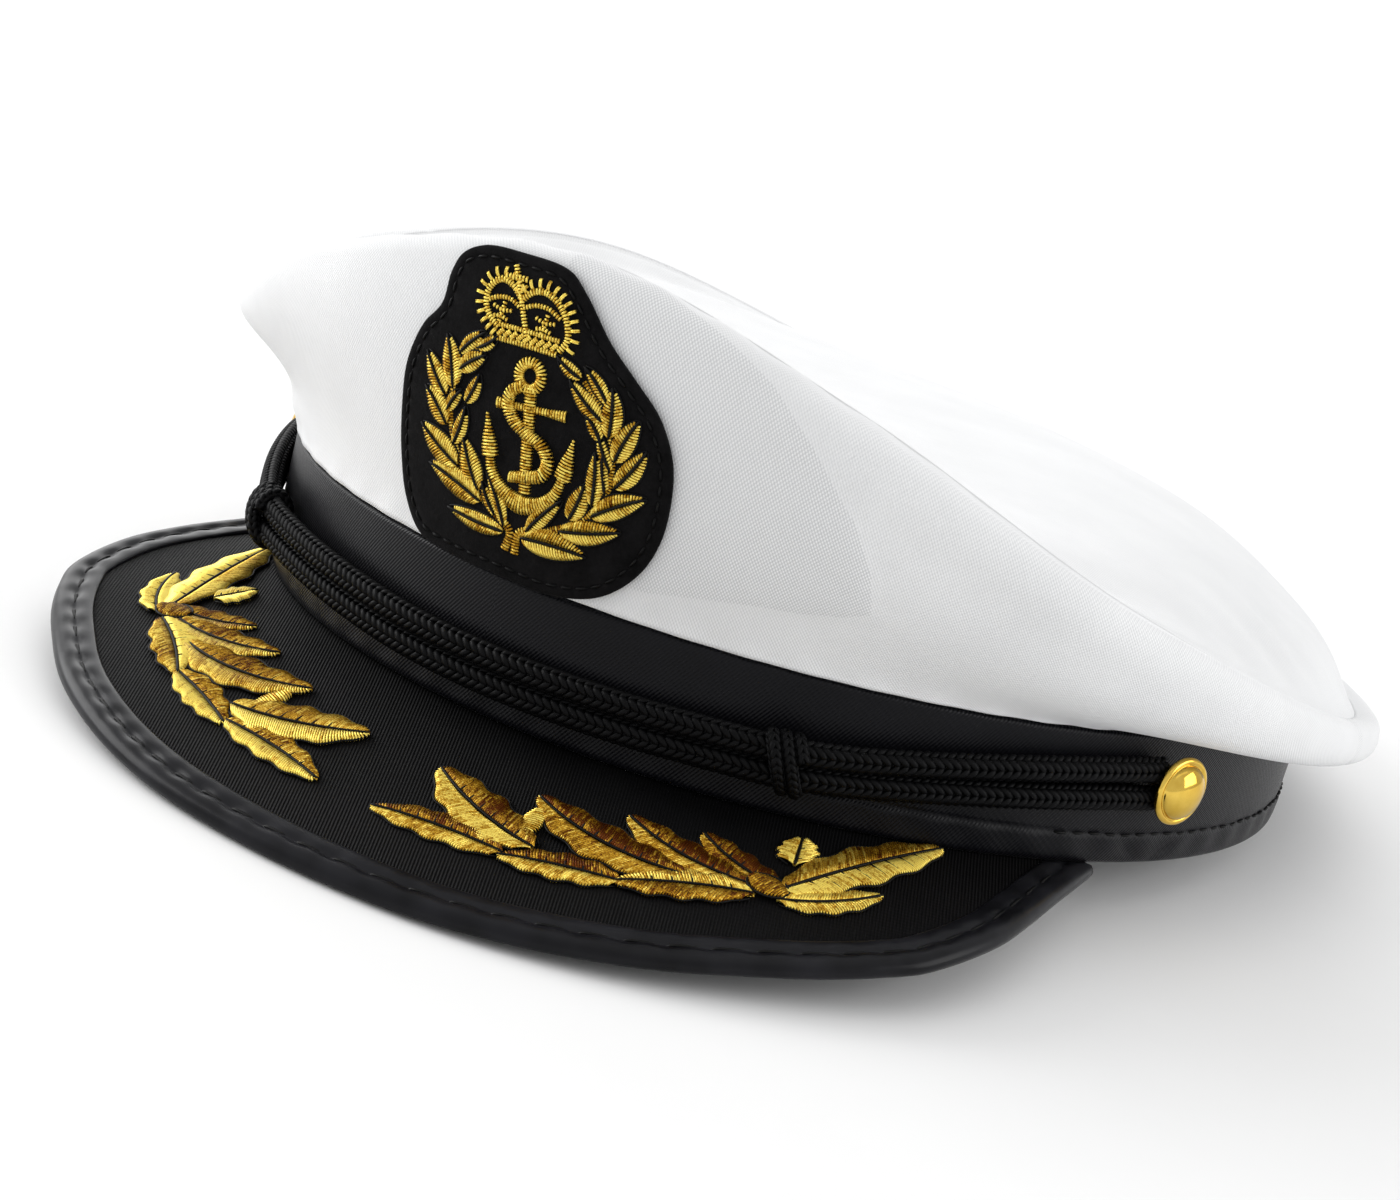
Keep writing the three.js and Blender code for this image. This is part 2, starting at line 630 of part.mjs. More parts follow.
function badgeAnchor() {
  const strokes = ANCHOR_STROKES.map((stroke, index) => (
    strokeGeometry(BADGE_SURFACE, stroke, THREAD.relief * (1 + 0.06 * index))));
  const flukes = ANCHOR_FLUKES.map((fluke) => leafGeometry(BADGE_SURFACE, fluke, THREAD.relief * 1.1));
  return joined([...strokes, ringGeometry(BADGE_SURFACE, ANCHOR_RING, THREAD.relief), ...flukes]);
}

function spray(side) {
  const surface = spraySurface(side);
  const { angle, reach, radius } = SPRAY_NODE;
  const node = spotGeometry(surface, angle, reach, radius, THREAD.relief * 1.3);
  return joined([...sprig(surface, SPRAY_STEM, SPRAY_LEAVES), node]);
}

// Chin cord lying on the band
function cordPlace([angle, up, out]) {
  return ovalPoint(angle, out + bandFlare(up), up);
}

function cordStrand(route) {
  const curve = new THREE.CatmullRomCurve3(route.map(cordPlace));
  const section = new THREE.Shape();
  section.absarc(0, 0, CORD.diameter / 2, 0, FULL_TURN);
  return new THREE.ExtrudeGeometry(section, {
    steps: CORD.steps,
    curveSegments: CORD.sides / 2,
    bevelEnabled: false,
    extrudePath: curve,
  });
}

// Height and way out of a strand at an angle, read from its route
function strandAt(route, angle) {
  const rising = route.toReversed();
  return {
    up: straight(rising.map(([at, up]) => [at, up]), angle),
    out: straight(rising.map(([at, , out]) => [at, out]), angle),
  };
}

// Sliding knot: a sleeve of wraps around both strands
function cordKnot(knot) {
  const strands = [CORD_UPPER, CORD_LOWER].map((route) => strandAt(route, knot.angle));
  const middle = (strands[0].up + strands[1].up) / 2;
  const strandOut = (strands[0].out + strands[1].out) / 2;
  const clear = CORD.diameter / 2 + 2 * GAP;
  const spread = CORD.diameter / 2 + GAP;
  const stations = [];
  for (let step = 0; step <= KNOT.wraps * 2; step += 1) {
    const bulge = step % 2 === 1 ? KNOT.wrap : KNOT.wrap * KNOT.dip;
    stations.push([KNOT.length * (step / (KNOT.wraps * 2) - 0.5), clear + bulge]);
  }
  stations.push([KNOT.length / 2, clear], [-KNOT.length / 2, clear]);
  const degreeLength = (BAND.halfLength + BAND.halfWidth) / 2 * RADIANS;
  const loops = Array.from({ length: KNOT.corners }, (_, index) => {
    const turn = (index + 0.5) / KNOT.corners * FULL_TURN;
    return stations.map(([along, radius]) => {
      const up = Math.sin(turn) * radius + Math.sign(Math.sin(turn)) * spread;
      const out = Math.cos(turn) * Math.min(radius, strandOut - 2 * GAP);
      return ovalPoint(knot.angle + along / degreeLength, strandOut + out + bandFlare(middle), middle + up);
    });
  });
  return loopsGeometry(loops, true);
}

// Domed button with a rolled rim and a shank, turned about its own axis
function button() {
  const radius = BUTTON.diameter / 2;
  const back = CORD.diameter + 3 * GAP;
  const rim = back + BUTTON.rim;
  const profile = [
    [0, GAP], [BUTTON.shank / 2, GAP], [BUTTON.shank / 2, back],
    [radius - BUTTON.corner, back], [radius, back + BUTTON.corner], [radius, rim],
    [radius - BUTTON.lip, rim + BUTTON.lipRise], [radius - 2 * BUTTON.lip, rim + BUTTON.lipRise / 3],
    [radius * 0.68, back + BUTTON.dome * 0.72], [radius * 0.38, back + BUTTON.dome * 0.93],
    [0, back + BUTTON.dome],
  ];
  return new THREE.LatheGeometry(profile.map(([r, h]) => new THREE.Vector2(r, h)), BUTTON.sides);
}

function placeButton(mesh, angle) {
  const way = outward(angle);
  mesh.position.copy(ovalPoint(angle, bandFlare(BUTTON.up), BUTTON.up));
  mesh.quaternion.setFromUnitVectors(new THREE.Vector3(0, 1, 0), way);
  return mesh;
}

// Materials
const whiteCloth = { color: 0xf2f2f1, roughness: 0.85, metalness: 0 };
const blackSatin = { color: 0x16171b, roughness: 0.5, metalness: 0 };
const blackTwill = { color: 0x131315, roughness: 0.85, metalness: 0 };
const blackGloss = { color: 0x0d0d0f, roughness: 0.25, metalness: 0 };
const blackFelt = { color: 0x121113, roughness: 0.95, metalness: 0 };
const blackBraid = { color: 0x0b0b0c, roughness: 0.6, metalness: 0 };
const goldThread = { color: 0xc79a32, roughness: 0.45, metalness: 0.5 };
const brass = { color: 0xd6aa2e, roughness: 0.16, metalness: 1 };

function piece(name, geometry, finish) {
  const mesh = new THREE.Mesh(geometry, new THREE.MeshStandardMaterial(finish));
  mesh.name = name;
  return mesh;
}

const hat = new THREE.Group();
hat.add(piece("crown_side", crownSide(), whiteCloth));
hat.add(piece("crown_top", crownTop(), whiteCloth));
hat.add(piece("band", band(), blackSatin));
hat.add(piece("peak", peak(), blackTwill));
hat.add(piece("peak_binding", peakBinding(), blackGloss));
hat.add(piece("badge_patch", badgePatch(), blackFelt));
hat.add(piece("badge_crown", badgeCrown(), goldThread));
hat.add(piece("badge_anchor", badgeAnchor(), goldThread));
hat.add(piece("badge_laurel_right", joined(sprig(BADGE_SURFACE, LEFT_STEM, LEFT_LEAVES)), goldThread));
hat.add(piece("badge_laurel_left", joined(sprig(BADGE_SURFACE, RIGHT_STEM, RIGHT_LEAVES)), goldThread));
hat.add(piece("spray_left", spray(1), goldThread));
hat.add(piece("spray_right", spray(-1), goldThread));
hat.add(piece("cord_upper", cordStrand(CORD_UPPER), blackBraid));
hat.add(piece("cord_lower", cordStrand(CORD_LOWER), blackBraid));
for (const knot of KNOTS) hat.add(piece(knot.name, cordKnot(knot), blackBraid));
hat.add(placeButton(piece("button_left", button(), brass), BUTTON.angle));
hat.add(placeButton(piece("button_right", button(), brass), -BUTTON.angle));

// Resting tilt: the line from the band's rear rim to the lowest reach of the peak's binding
const bindingUnder = PEAK.thickness + GAP + BINDING.skin;
const tilts = peakAngles().map((angle) => {
  const edge = peakPoint(angle, peakReach(angle) - BINDING.edge);
  return Math.atan2(bindingUnder - edge.z, BAND.halfLength - edge.y);
});
hat.rotation.x = -Math.max(...tilts);

const captainHat = new THREE.Group();
captainHat.add(hat);
captainHat.updateMatrixWorld(true);
const bounds = new THREE.Box3().setFromObject(hat, true);
hat.position.set(-(bounds.min.x + bounds.max.x) / 2, -(bounds.min.y + bounds.max.y) / 2, -bounds.min.z);

export default captainHat;
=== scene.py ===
import math

import bpy
import numpy as np
from mathutils import Matrix, Vector

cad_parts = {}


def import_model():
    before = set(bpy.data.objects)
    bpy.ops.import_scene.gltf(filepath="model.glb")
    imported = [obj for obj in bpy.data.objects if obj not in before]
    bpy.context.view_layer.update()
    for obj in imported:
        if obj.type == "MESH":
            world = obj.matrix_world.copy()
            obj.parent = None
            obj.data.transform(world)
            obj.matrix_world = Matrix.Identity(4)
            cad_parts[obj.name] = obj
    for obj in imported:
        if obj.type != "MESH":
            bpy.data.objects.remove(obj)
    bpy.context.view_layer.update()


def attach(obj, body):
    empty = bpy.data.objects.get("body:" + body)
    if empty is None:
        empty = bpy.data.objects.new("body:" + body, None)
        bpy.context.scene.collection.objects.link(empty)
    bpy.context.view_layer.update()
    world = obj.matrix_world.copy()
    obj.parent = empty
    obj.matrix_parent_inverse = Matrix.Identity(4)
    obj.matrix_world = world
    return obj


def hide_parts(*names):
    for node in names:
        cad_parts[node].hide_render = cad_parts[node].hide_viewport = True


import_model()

# Hat sizes in millimetres, with the band's lower edge level, as in the solids
MM = 0.001
GAP = 0.3
SEAM_GAP = 0.05
TILT = math.radians(-4.532002)
PLACE = np.array([3.9666, 11.2780, 7.6566])
HALF_WIDTH, HALF_LENGTH = 88.1, 96.9
GIRTH = math.pi * (HALF_WIDTH + HALF_LENGTH)
DEGREE_GIRTH = GIRTH / 360
BAND_HEIGHT, BAND_WALL, BAND_FLARE = 21.9, 2.0, 0.7
RISE, OVERHANG, CLOTH = 50.5, 24.0, 1.6
CREST_IN, CREST_DROP = 4.0, 1.0
TOP_HEIGHT, TOP_DOME, TOP_VALLEY = 24.0, 1.0, 2.5
TOP_CENTRE = np.array([0.0, 3.9])
PEAK_REACH, PEAK_THICKNESS, PEAK_TUCK = 45.8, 1.4, 1.5
PEAK_SLOPES = (21.2, 0.5)
PEAK_END, PEAK_TURN = 67.25, 0.495
PATCH_FACE = 1.55
PLAIN_TINT = 0.5

# Crown sections every 30 degrees from the front towards the wearer's left
SECTIONS = np.array([
    # crest up, crest out, hip out, hip up, foot up, foot out
    [1.0, 0.21, 0.29, 0.6, 0.2, 0],
    [0.8, 0.17, 0.33, 0.4, 0.16, 0],
    [0.42, 0.38, 0.53, 0.06, 0.03, 0.06],
    [0.13, 0.42, 0.71, -0.13, -0.11, 0.08],
    [-0.04, 0.56, 0.75, -0.27, -0.12, 0.08],
    [-0.05, 0.76, 0.79, -0.32, -0.12, 0.08],
    [0.12, 0.82, 0.79, -0.06, 0, 0.06],
    [0.34, 1.0, 0.79, 0.08, 0.08, 0],
    [0.58, 1.0, 0.79, 0.19, 0.16, 0],
    [0.5, 0.86, 0.75, 0.25, 0.2, 0],
    [0.33, 0.69, 0.76, 0.19, 0.2, 0],
    [0.75, 0.46, 0.5, 0.44, 0.2, 0],
])

# Outer edge of the peak: angle from the front, share of the reach
PEAK_EDGE = np.array([
    [0, 1.0], [6, 1.0], [12, 1.0], [18, 0.99], [24, 0.97], [30, 0.94], [36, 0.89], [41, 0.85],
    [45, 0.805], [48, 0.76], [50, 0.7], [52, 0.63], [54, 0.55], [57, 0.4], [60, 0.26], [64, 0.11],
    [66.8, 0.02],
])

draws = np.random.default_rng(7)


# Shapes of the hat

def oval(angle, out, up):
    turn = np.radians(angle)
    x = (HALF_WIDTH + out) * np.sin(turn)
    y = -(HALF_LENGTH + out) * np.cos(turn)
    return np.stack(np.broadcast_arrays(x, y, up), -1).astype(float)


def outward(angle):
    turn = np.radians(angle)
    way = np.stack([np.sin(turn) / HALF_WIDTH, -np.cos(turn) / HALF_LENGTH, 0 * turn], -1)
    return way / np.linalg.norm(way, axis=-1, keepdims=True)


def unit(vectors):
    length = np.linalg.norm(vectors, axis=-1, keepdims=True)
    return vectors / np.maximum(length, 1e-9)


def world(points):
    cos, sin = math.cos(TILT), math.sin(TILT)
    x, y, z = points[..., 0], points[..., 1], points[..., 2]
    return (np.stack([x, cos * y - sin * z, sin * y + cos * z], -1) + PLACE) * MM


def section(column, angle):
    count = len(SECTIONS)
    place = np.mod(angle, 360) / (360 / count)
    index = np.floor(place).astype(int)
    share = place - index
    before, start, end, after = [SECTIONS[(index + step) % count, column] for step in (-1, 0, 1, 2)]
    b = end - before
    c = 2 * before - 5 * start + 4 * end - after
    d = -before + 3 * start - 3 * end + after
    return 0.5 * (2 * start + b * share + c * share ** 2 + d * share ** 3)


def side_profile(angle, share):
    """Way out and height of the crown's side, from the band at 0 to the seam behind the crest at 1."""
    angle, share = np.broadcast_arrays(np.asarray(angle, float), np.asarray(share, float))
    crest_up, crest_out, hip_out, hip_up, foot_up, foot_out = [section(k, angle) for k in range(6)]
    base = BAND_HEIGHT + GAP
    foot = np.stack([0 * angle + BAND_FLARE, 0 * angle + base], -1)
    low = np.stack([BAND_FLARE + foot_out * OVERHANG, base + foot_up * RISE], -1)
    hip = np.stack([hip_out * OVERHANG, BAND_HEIGHT + hip_up * RISE], -1)
    crest = np.stack([crest_out * OVERHANG, BAND_HEIGHT + crest_up * RISE], -1)

    def wall(t):
        t = t[..., None]
        return ((1 - t) ** 3 * foot + 3 * t * (1 - t) ** 2 * low
                + 3 * t ** 2 * (1 - t) * hip + t ** 3 * crest)

    turn_start, wall_share = 0.93, 0.78
    seam = crest - np.array([CREST_IN, CREST_DROP])
    q = np.clip((share - wall_share) / (1 - wall_share), 0, 1)[..., None]
    turn = wall(0 * share + turn_start)
    fold = (1 - q) ** 2 * turn + 2 * q * (1 - q) * crest + q ** 2 * seam
    rise = wall(np.minimum(share / wall_share, 1) * turn_start)
    return np.where(share[..., None] <= wall_share, rise, fold)


def side_normal(angle, share):
    step = 0.02
    ahead = side_profile(angle, np.minimum(share + step, 1))
    behind = side_profile(angle, np.maximum(share - step, 0))
    way = unit(ahead - behind)
    return np.stack([way[..., 1], -way[..., 0]], -1)


def bump_at(value, middle, width):
    return np.exp(-((value - middle) / width) ** 2)


def turned(angle):
    """Angle from the front between -180 and 180 degrees."""
    return np.mod(np.asarray(angle, float) + 180, 360) - 180


def ripple(angle, count, phase):
    return np.sin(np.radians(angle * count) + phase)


def run_length(points, power=1.0):
    """Length of the path up to each of its points; a power below 1 evens out long and short steps."""
    steps = np.linalg.norm(np.diff(points, axis=0), axis=-1) ** power
    return np.concatenate([[0], np.cumsum(steps)])


# Edge of the front stay on the wearer's left: share of the side's height, angle from the front
STAY_SIDE = np.array([
    [0.0, 37], [0.37, 35.5], [0.5, 34.3], [0.6, 32], [0.715, 26.5], [0.795, 21], [0.9, 13], [1.0, 6],
])
# Lower edge of the front stay: angle from the front, share of the side's height
STAY_FOOT = np.array([[0, 0.1], [15, 0.125], [25.5, 0.225], [29.5, 0.26], [33, 0.31], [36, 0.38]])
STAY_STEP, STAY_SOFT, STAY_FADE = 0.28, 0.6, 9
SIDE_SEAMS = (97, -97, 180, -180)


def stay_depth(angle, share):
    """Millimetres in from the edge of the front stay, below zero outside it."""
    a, share = np.broadcast_arrays(turned(angle), share)
    side = (np.interp(share, STAY_SIDE[:, 0], STAY_SIDE[:, 1]) - a) * DEGREE_GIRTH
    foot = (share - np.interp(a, STAY_FOOT[:, 0], STAY_FOOT[:, 1])) * RISE
    return np.minimum(np.minimum(side, foot), a * DEGREE_GIRTH)


def side_relief(angle, share):
    """How far the crown's cloth stands off its plain side: slack, seams and the edge of the front stay."""
    a = turned(angle)
    slack = 0.35 * ripple(a, 3, 0.4) * ripple(share * 200, 1, 1.0)
    slack = slack + 0.22 * ripple(a, 7, 2.0) * ripple(share * 300, 1, 0.3)
    away = 1 - bump_at(a, 0, 26)
    ends = np.sin(np.pi * np.clip(share, 0, 1))
    depth = stay_depth(a, share)
    bend = STAY_STEP / (1 + np.exp(-np.clip(depth, -20, 20) / STAY_SOFT)) * (a > 12)
    bend = bend * bump_at(np.maximum(depth, 0), 0, STAY_FADE) * bump_at(share, 0.4, 0.25)
    bend = bend - 0.35 * bump_at(a, 45, 9) * bump_at(share, 0.55, 0.22)
    crease = (0.8 * bump_at(share, 0.75, 0.09) - 0.7 * bump_at(share, 0.93, 0.07)) * bump_at(a, 50, 32)
    lobe = 1.3 * bump_at(a, -49, 9) * bump_at(share, 0.12, 0.1)
    puckers = 0.12 * ripple(a, 60, 0) * bump_at(share, 0.02, 0.05)
    seams = sum(bump_at(a, middle, 0.5) for middle in SIDE_SEAMS)
    gathers = 0.16 * ripple(a, 48, 0.7) * bump_at(share, 0.97, 0.07) * bump_at(np.abs(a), 12, 30)
    return slack * away * ends + bend + crease + lobe + puckers - 0.4 * seams + gathers


def smooth_table(table, value):
    """Smooth curve through the rows of a two-column table."""
    x, y = table[:, 0], table[:, 1]
    slope = np.gradient(y, x)
    value = np.clip(value, x[0], x[-1])
    index = np.clip(np.searchsorted(x, value, side="right") - 1, 0, len(x) - 2)
    width = x[index + 1] - x[index]
    t = (value - x[index]) / width
    return ((2 * t ** 3 - 3 * t ** 2 + 1) * y[index] + (t ** 3 - 2 * t ** 2 + t) * width * slope[index]
            + (-2 * t ** 3 + 3 * t ** 2) * y[index + 1] + (t ** 3 - t ** 2) * width * slope[index + 1])


def peak_reach(angle):
    return smooth_table(PEAK_EDGE, np.abs(angle)) * PEAK_REACH


def peak_point(angle, reach):
    angle, reach = np.broadcast_arrays(np.asarray(angle, float), np.asarray(reach, float))
    share = np.minimum(np.abs(angle) / PEAK_END, 1)
    slope = np.radians(PEAK_SLOPES[0] + (PEAK_SLOPES[1] - PEAK_SLOPES[0]) * share ** 2)
    normal = outward(angle)
    way = unit(np.stack([normal[..., 0] * PEAK_TURN, normal[..., 1], 0 * angle], -1))
    ahead, behind = np.maximum(reach, 0), np.minimum(reach, 0)
    point = oval(angle, 0, -GAP + 0 * angle) + way * (ahead * np.cos(slope) + behind)[..., None]
    point[..., 2] -= ahead * np.sin(slope)
    return point


def peak_normal(angle, reach):
    step = 0.5
    along = peak_point(angle + step, reach) - peak_point(angle - step, reach)
    out = peak_point(angle, reach + step) - peak_point(angle, reach)
    normal = unit(np.cross(out, along))
    return np.where(normal[..., 2:] < 0, -normal, normal)


# Meshes

class Sheet:
    """Gathers faces with their place on the cloth in millimetres and a tint, then makes one mesh object."""

    def __init__(self):
        self.points, self.faces, self.maps, self.tints = [], [], [], []
        self.count = 0

    def add_points(self, points):
        """Adds points and gives the number of the first."""
        points = np.asarray(points, float).reshape(-1, 3)
        self.points.append(points)
        self.count += len(points)
        return self.count - len(points)

    def add_faces(self, faces, maps=None, tint=PLAIN_TINT):
        """Adds faces by their points' numbers; maps holds the place on the cloth of each corner."""
        self.faces.append(faces)
        self.maps.append(np.zeros((faces.size, 2)) if maps is None else maps.reshape(-1, 2))
        self.tints.append(np.broadcast_to(tint, (len(faces),)))

    def grid(self, points, flat, around, closed=False, flip=False, tint=PLAIN_TINT):
        """Adds a grid that may close over its rows (around) and its columns (closed).

        flat is each point's place on the cloth, one row or column longer where the grid closes.
        """
        rows, columns = points.shape[:2]
        spans = np.arange(rows if around else rows - 1), np.arange(columns if closed else columns - 1)
        row, column = (part.ravel() for part in np.meshgrid(*spans, indexing="ij"))
        after, beside = (row + 1) % rows, (column + 1) % columns
        faces = np.stack([row * columns + column, after * columns + column,
                          after * columns + beside, row * columns + beside], -1)
        maps = np.stack([flat[row, column], flat[row + 1, column],
                         flat[row + 1, column + 1], flat[row, column + 1]], 1)
        if flip:
            faces, maps = faces[:, ::-1], maps[:, ::-1]
        start = self.add_points(points)
        self.add_faces(faces + start, maps, tint)
        return start

    def fan(self, ring, middle, flip, place=(0, 0)):
        """Closes a ring of points, given by their numbers, with triangles to one middle point."""
        centre = self.add_points(middle)
        faces = np.stack([ring, np.roll(ring, -1), np.full(len(ring), centre)], -1)
        self.add_faces(faces[:, ::-1] if flip else faces, np.tile(place, (faces.size, 1)))

    def shell(self, loops, flat, around, tint=PLAIN_TINT):
        """Adds rows of closed section loops; an open run gets fan ends."""
        rows, size = loops.shape[:2]
        start = self.grid(loops, flat, around, closed=True, tint=tint)
        if not around:
            for end in (0, rows - 1):
                self.fan(start + end * size + np.arange(size), loops[end].mean(0), end == 0, flat[end, 0])

    def pad(self, faces):
        """Adds an upper and an under grid, each closed by a fan, and the wall between their rims."""
        rims = []
        for (points, flat), flip in zip(faces, (True, False)):
            rounds, columns = points.shape[:2]
            start = self.grid(points, np.concatenate([flat, flat[:1]]), around=True, flip=flip)
            rims.append(start + np.arange(rounds) * columns)
            self.fan(rims[-1] + columns - 1, points[:, -1].mean(0), flip, flat[:, -1].mean(0))
        rim, lip = rims
        self.add_faces(np.stack([np.roll(rim, -1), np.roll(lip, -1), lip, rim], -1))

    def make(self, name, material, slot, replaces=()):
        points = world(np.concatenate(self.points))
        mesh = bpy.data.meshes.new(name)
        sizes = np.concatenate([np.full(len(f), f.shape[1], np.int32) for f in self.faces])
        loops = np.concatenate([f.ravel() for f in self.faces]).astype(np.int32)
        starts = np.concatenate([[0], np.cumsum(sizes)[:-1]]).astype(np.int32)
        mesh.vertices.add(len(points))
        mesh.vertices.foreach_set("co", points.astype(np.float32).ravel())
        mesh.loops.add(len(loops))
        mesh.loops.foreach_set("vertex_index", loops)
        mesh.polygons.add(len(sizes))
        mesh.polygons.foreach_set("loop_start", starts)
        mesh.polygons.foreach_set("loop_total", sizes)
        mesh.polygons.foreach_set("use_smooth", np.full(len(sizes), True))
        layer = mesh.uv_layers.new(name="cloth")
        layer.data.foreach_set("uv", np.concatenate(self.maps).astype(np.float32).ravel())
        tint = mesh.attributes.new("tint", "FLOAT", "FACE")
        tint.data.foreach_set("value", np.concatenate(self.tints).astype(np.float32))
        mesh.update(calc_edges=True)
        mesh.validate()
        mesh.materials.append(material)
        piece = bpy.data.objects.new(name, mesh)
        bpy.context.scene.collection.objects.link(piece)
        if replaces:
            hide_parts(*replaces)
        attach(piece, "root")
        return piece


def threads(sheet, paths, normals, half_width, half_height, tint=PLAIN_TINT, taper=(0.55, 0.2), painted_glints=0.0):
    """Adds many short closed threads: paths and normals are (threads, points, 3)."""
    sides = 6
    many, steps = paths.shape[:2]
    way = unit(np.gradient(paths, axis=1))
    normals = unit(normals - (normals * way).sum(-1, keepdims=True) * way)
    across = np.cross(way, normals)
    size = np.ones(steps)
    size[0], size[-1] = taper[0], taper[0]
    turn = (np.arange(sides) + 0.5) / sides * 2 * np.pi
    ring = (paths[:, :, None] + across[:, :, None] * np.cos(turn)[:, None] * half_width * size[:, None, None]
            + normals[:, :, None] * np.sin(turn)[:, None] * half_height * size[:, None, None])
    ends = paths[:, [0, -1]] + np.stack([-way[:, 0], way[:, -1]], 1) * half_height * taper[1]
    points = np.concatenate([ring.reshape(many, steps * sides, 3), ends], 1)
    step, side = (part.ravel() for part in np.meshgrid(np.arange(steps - 1), np.arange(sides), indexing="ij"))
    beside = (side + 1) % sides
    quads = np.stack([step * sides + side, (step + 1) * sides + side,
                      (step + 1) * sides + beside, step * sides + beside], -1)[:, ::-1]
    around = np.arange(sides)
    last = (steps - 1) * sides
    first_cap = np.stack([around, (around + 1) % sides, np.full(sides, steps * sides)], -1)[:, ::-1]
    last_cap = np.stack([last + around, last + (around + 1) % sides, np.full(sides, steps * sides + 1)], -1)
    base = sheet.add_points(points)
    shift = base + (np.arange(many) * (steps * sides + 2))[:, None, None]
    tint = np.broadcast_to(np.asarray(tint, float), (many,))
    step_lengths = np.linalg.norm(np.diff(paths, axis=1), axis=-1)
    length = np.concatenate([np.zeros((many, 1)), np.cumsum(step_lengths, 1)], 1)
    along, over = length[:, step], length[:, step + 1]
    low, high = side / sides + 0 * along, (side + 1) / sides + 0 * along
    maps = np.stack([np.stack([along, high], -1), np.stack([over, high], -1),
                     np.stack([over, low], -1), np.stack([along, low], -1)], 2)
    # painted glints: a random change of tint on each segment makes the thread flicker lighter and darker
    # along its length
    shades = np.repeat(tint[:, None] + draws.normal(0, 1, (many, steps - 1)) * painted_glints, sides, axis=1)
    sheet.add_faces((quads[None] + shift).reshape(-1, 4), maps, shades.ravel())
    for cap in (first_cap, last_cap):
        sheet.add_faces((cap[None] + shift).reshape(-1, 3), tint=np.repeat(tint, sides))


# Materials

def nodes_of(name):
    material = bpy.data.materials.new(name)
    material.use_nodes = True
    tree = material.node_tree
    return material, tree, tree.nodes["Principled BSDF"]


def node(tree, kind, **values):
    made = tree.nodes.new(kind)
    for key, value in values.items():
        setattr(made, key, value)
    return made


def math_node(tree, operation, first, second=None):
    made = node(tree, "ShaderNodeMath", operation=operation)
    for socket, value in enumerate((first, second)):
        if isinstance(value, (int, float)):
            made.inputs[socket].default_value = value
        elif value is not None:
            tree.links.new(value, made.inputs[socket])
    return made.outputs[0]


def times(tree, first, second):
    return math_node(tree, "MULTIPLY", first, second)


def plus(tree, first, second):
    return math_node(tree, "ADD", first, second)


def cloth_axes(tree, turn=0.0):
    """The two directions on the cloth in millimetres, turned by some degrees."""
    place = node(tree, "ShaderNodeUVMap", uv_map="cloth")
    mapping = node(tree, "ShaderNodeMapping")
    mapping.inputs["Rotation"].default_value[2] = math.radians(turn)
    parts = node(tree, "ShaderNodeSeparateXYZ")
    tree.links.new(place.outputs[0], mapping.inputs["Vector"])
    tree.links.new(mapping.outputs[0], parts.inputs[0])
    return parts.outputs[0], parts.outputs[1]


def wave(tree, axis, pitch):
    return math_node(tree, "SINE", times(tree, axis, 2 * math.pi / pitch))


def noise(tree, scale, detail=3.0, roughness=0.55):
    made = node(tree, "ShaderNodeTexNoise")
    made.inputs["Scale"].default_value = scale
    made.inputs["Detail"].default_value = detail
    made.inputs["Roughness"].default_value = roughness
    place = node(tree, "ShaderNodeTexCoord")
    tree.links.new(place.outputs["Object"], made.inputs["Vector"])
    return made.outputs["Fac"]


def spread(tree, value, low, high):
    made = node(tree, "ShaderNodeMapRange")
    made.inputs["To Min"].default_value = low
    made.inputs["To Max"].default_value = high
    tree.links.new(value, made.inputs["Value"])
    return made.outputs[0]


def paint(tree, shader, value, low, high, low_at=0.0, high_at=1.0, middle=None):
    """Base colour from the low to the high one by a value, through a middle one if given."""
    made = node(tree, "ShaderNodeValToRGB")
    for element, colour, position in zip(made.color_ramp.elements, (low, high), (low_at, high_at)):
        element.color = (*colour, 1)
        element.position = position
    if middle:
        made.color_ramp.elements.new((low_at + high_at) / 2).color = (*middle, 1)
    tree.links.new(value, made.inputs[0])
    tree.links.new(made.outputs[0], shader.inputs["Base Color"])


def roughen(tree, shader, value, low, high):
    tree.links.new(spread(tree, value, low, high), shader.inputs["Roughness"])


def bumps(tree, shader, layers):
    """Chains bump layers: height, depth in millimetres, strength."""
    before = None
    for height, depth, strength in layers:
        made = node(tree, "ShaderNodeBump")
        made.inputs["Strength"].default_value = strength
        made.inputs["Distance"].default_value = depth * MM
        tree.links.new(height, made.inputs["Height"])
        if before:
            tree.links.new(before, made.inputs["Normal"])
        before = made.outputs[0]
    tree.links.new(before, shader.inputs["Normal"])


def set_values(shader, **values):
    for key, value in values.items():
        shader.inputs[key.replace("_", " ")].default_value = value


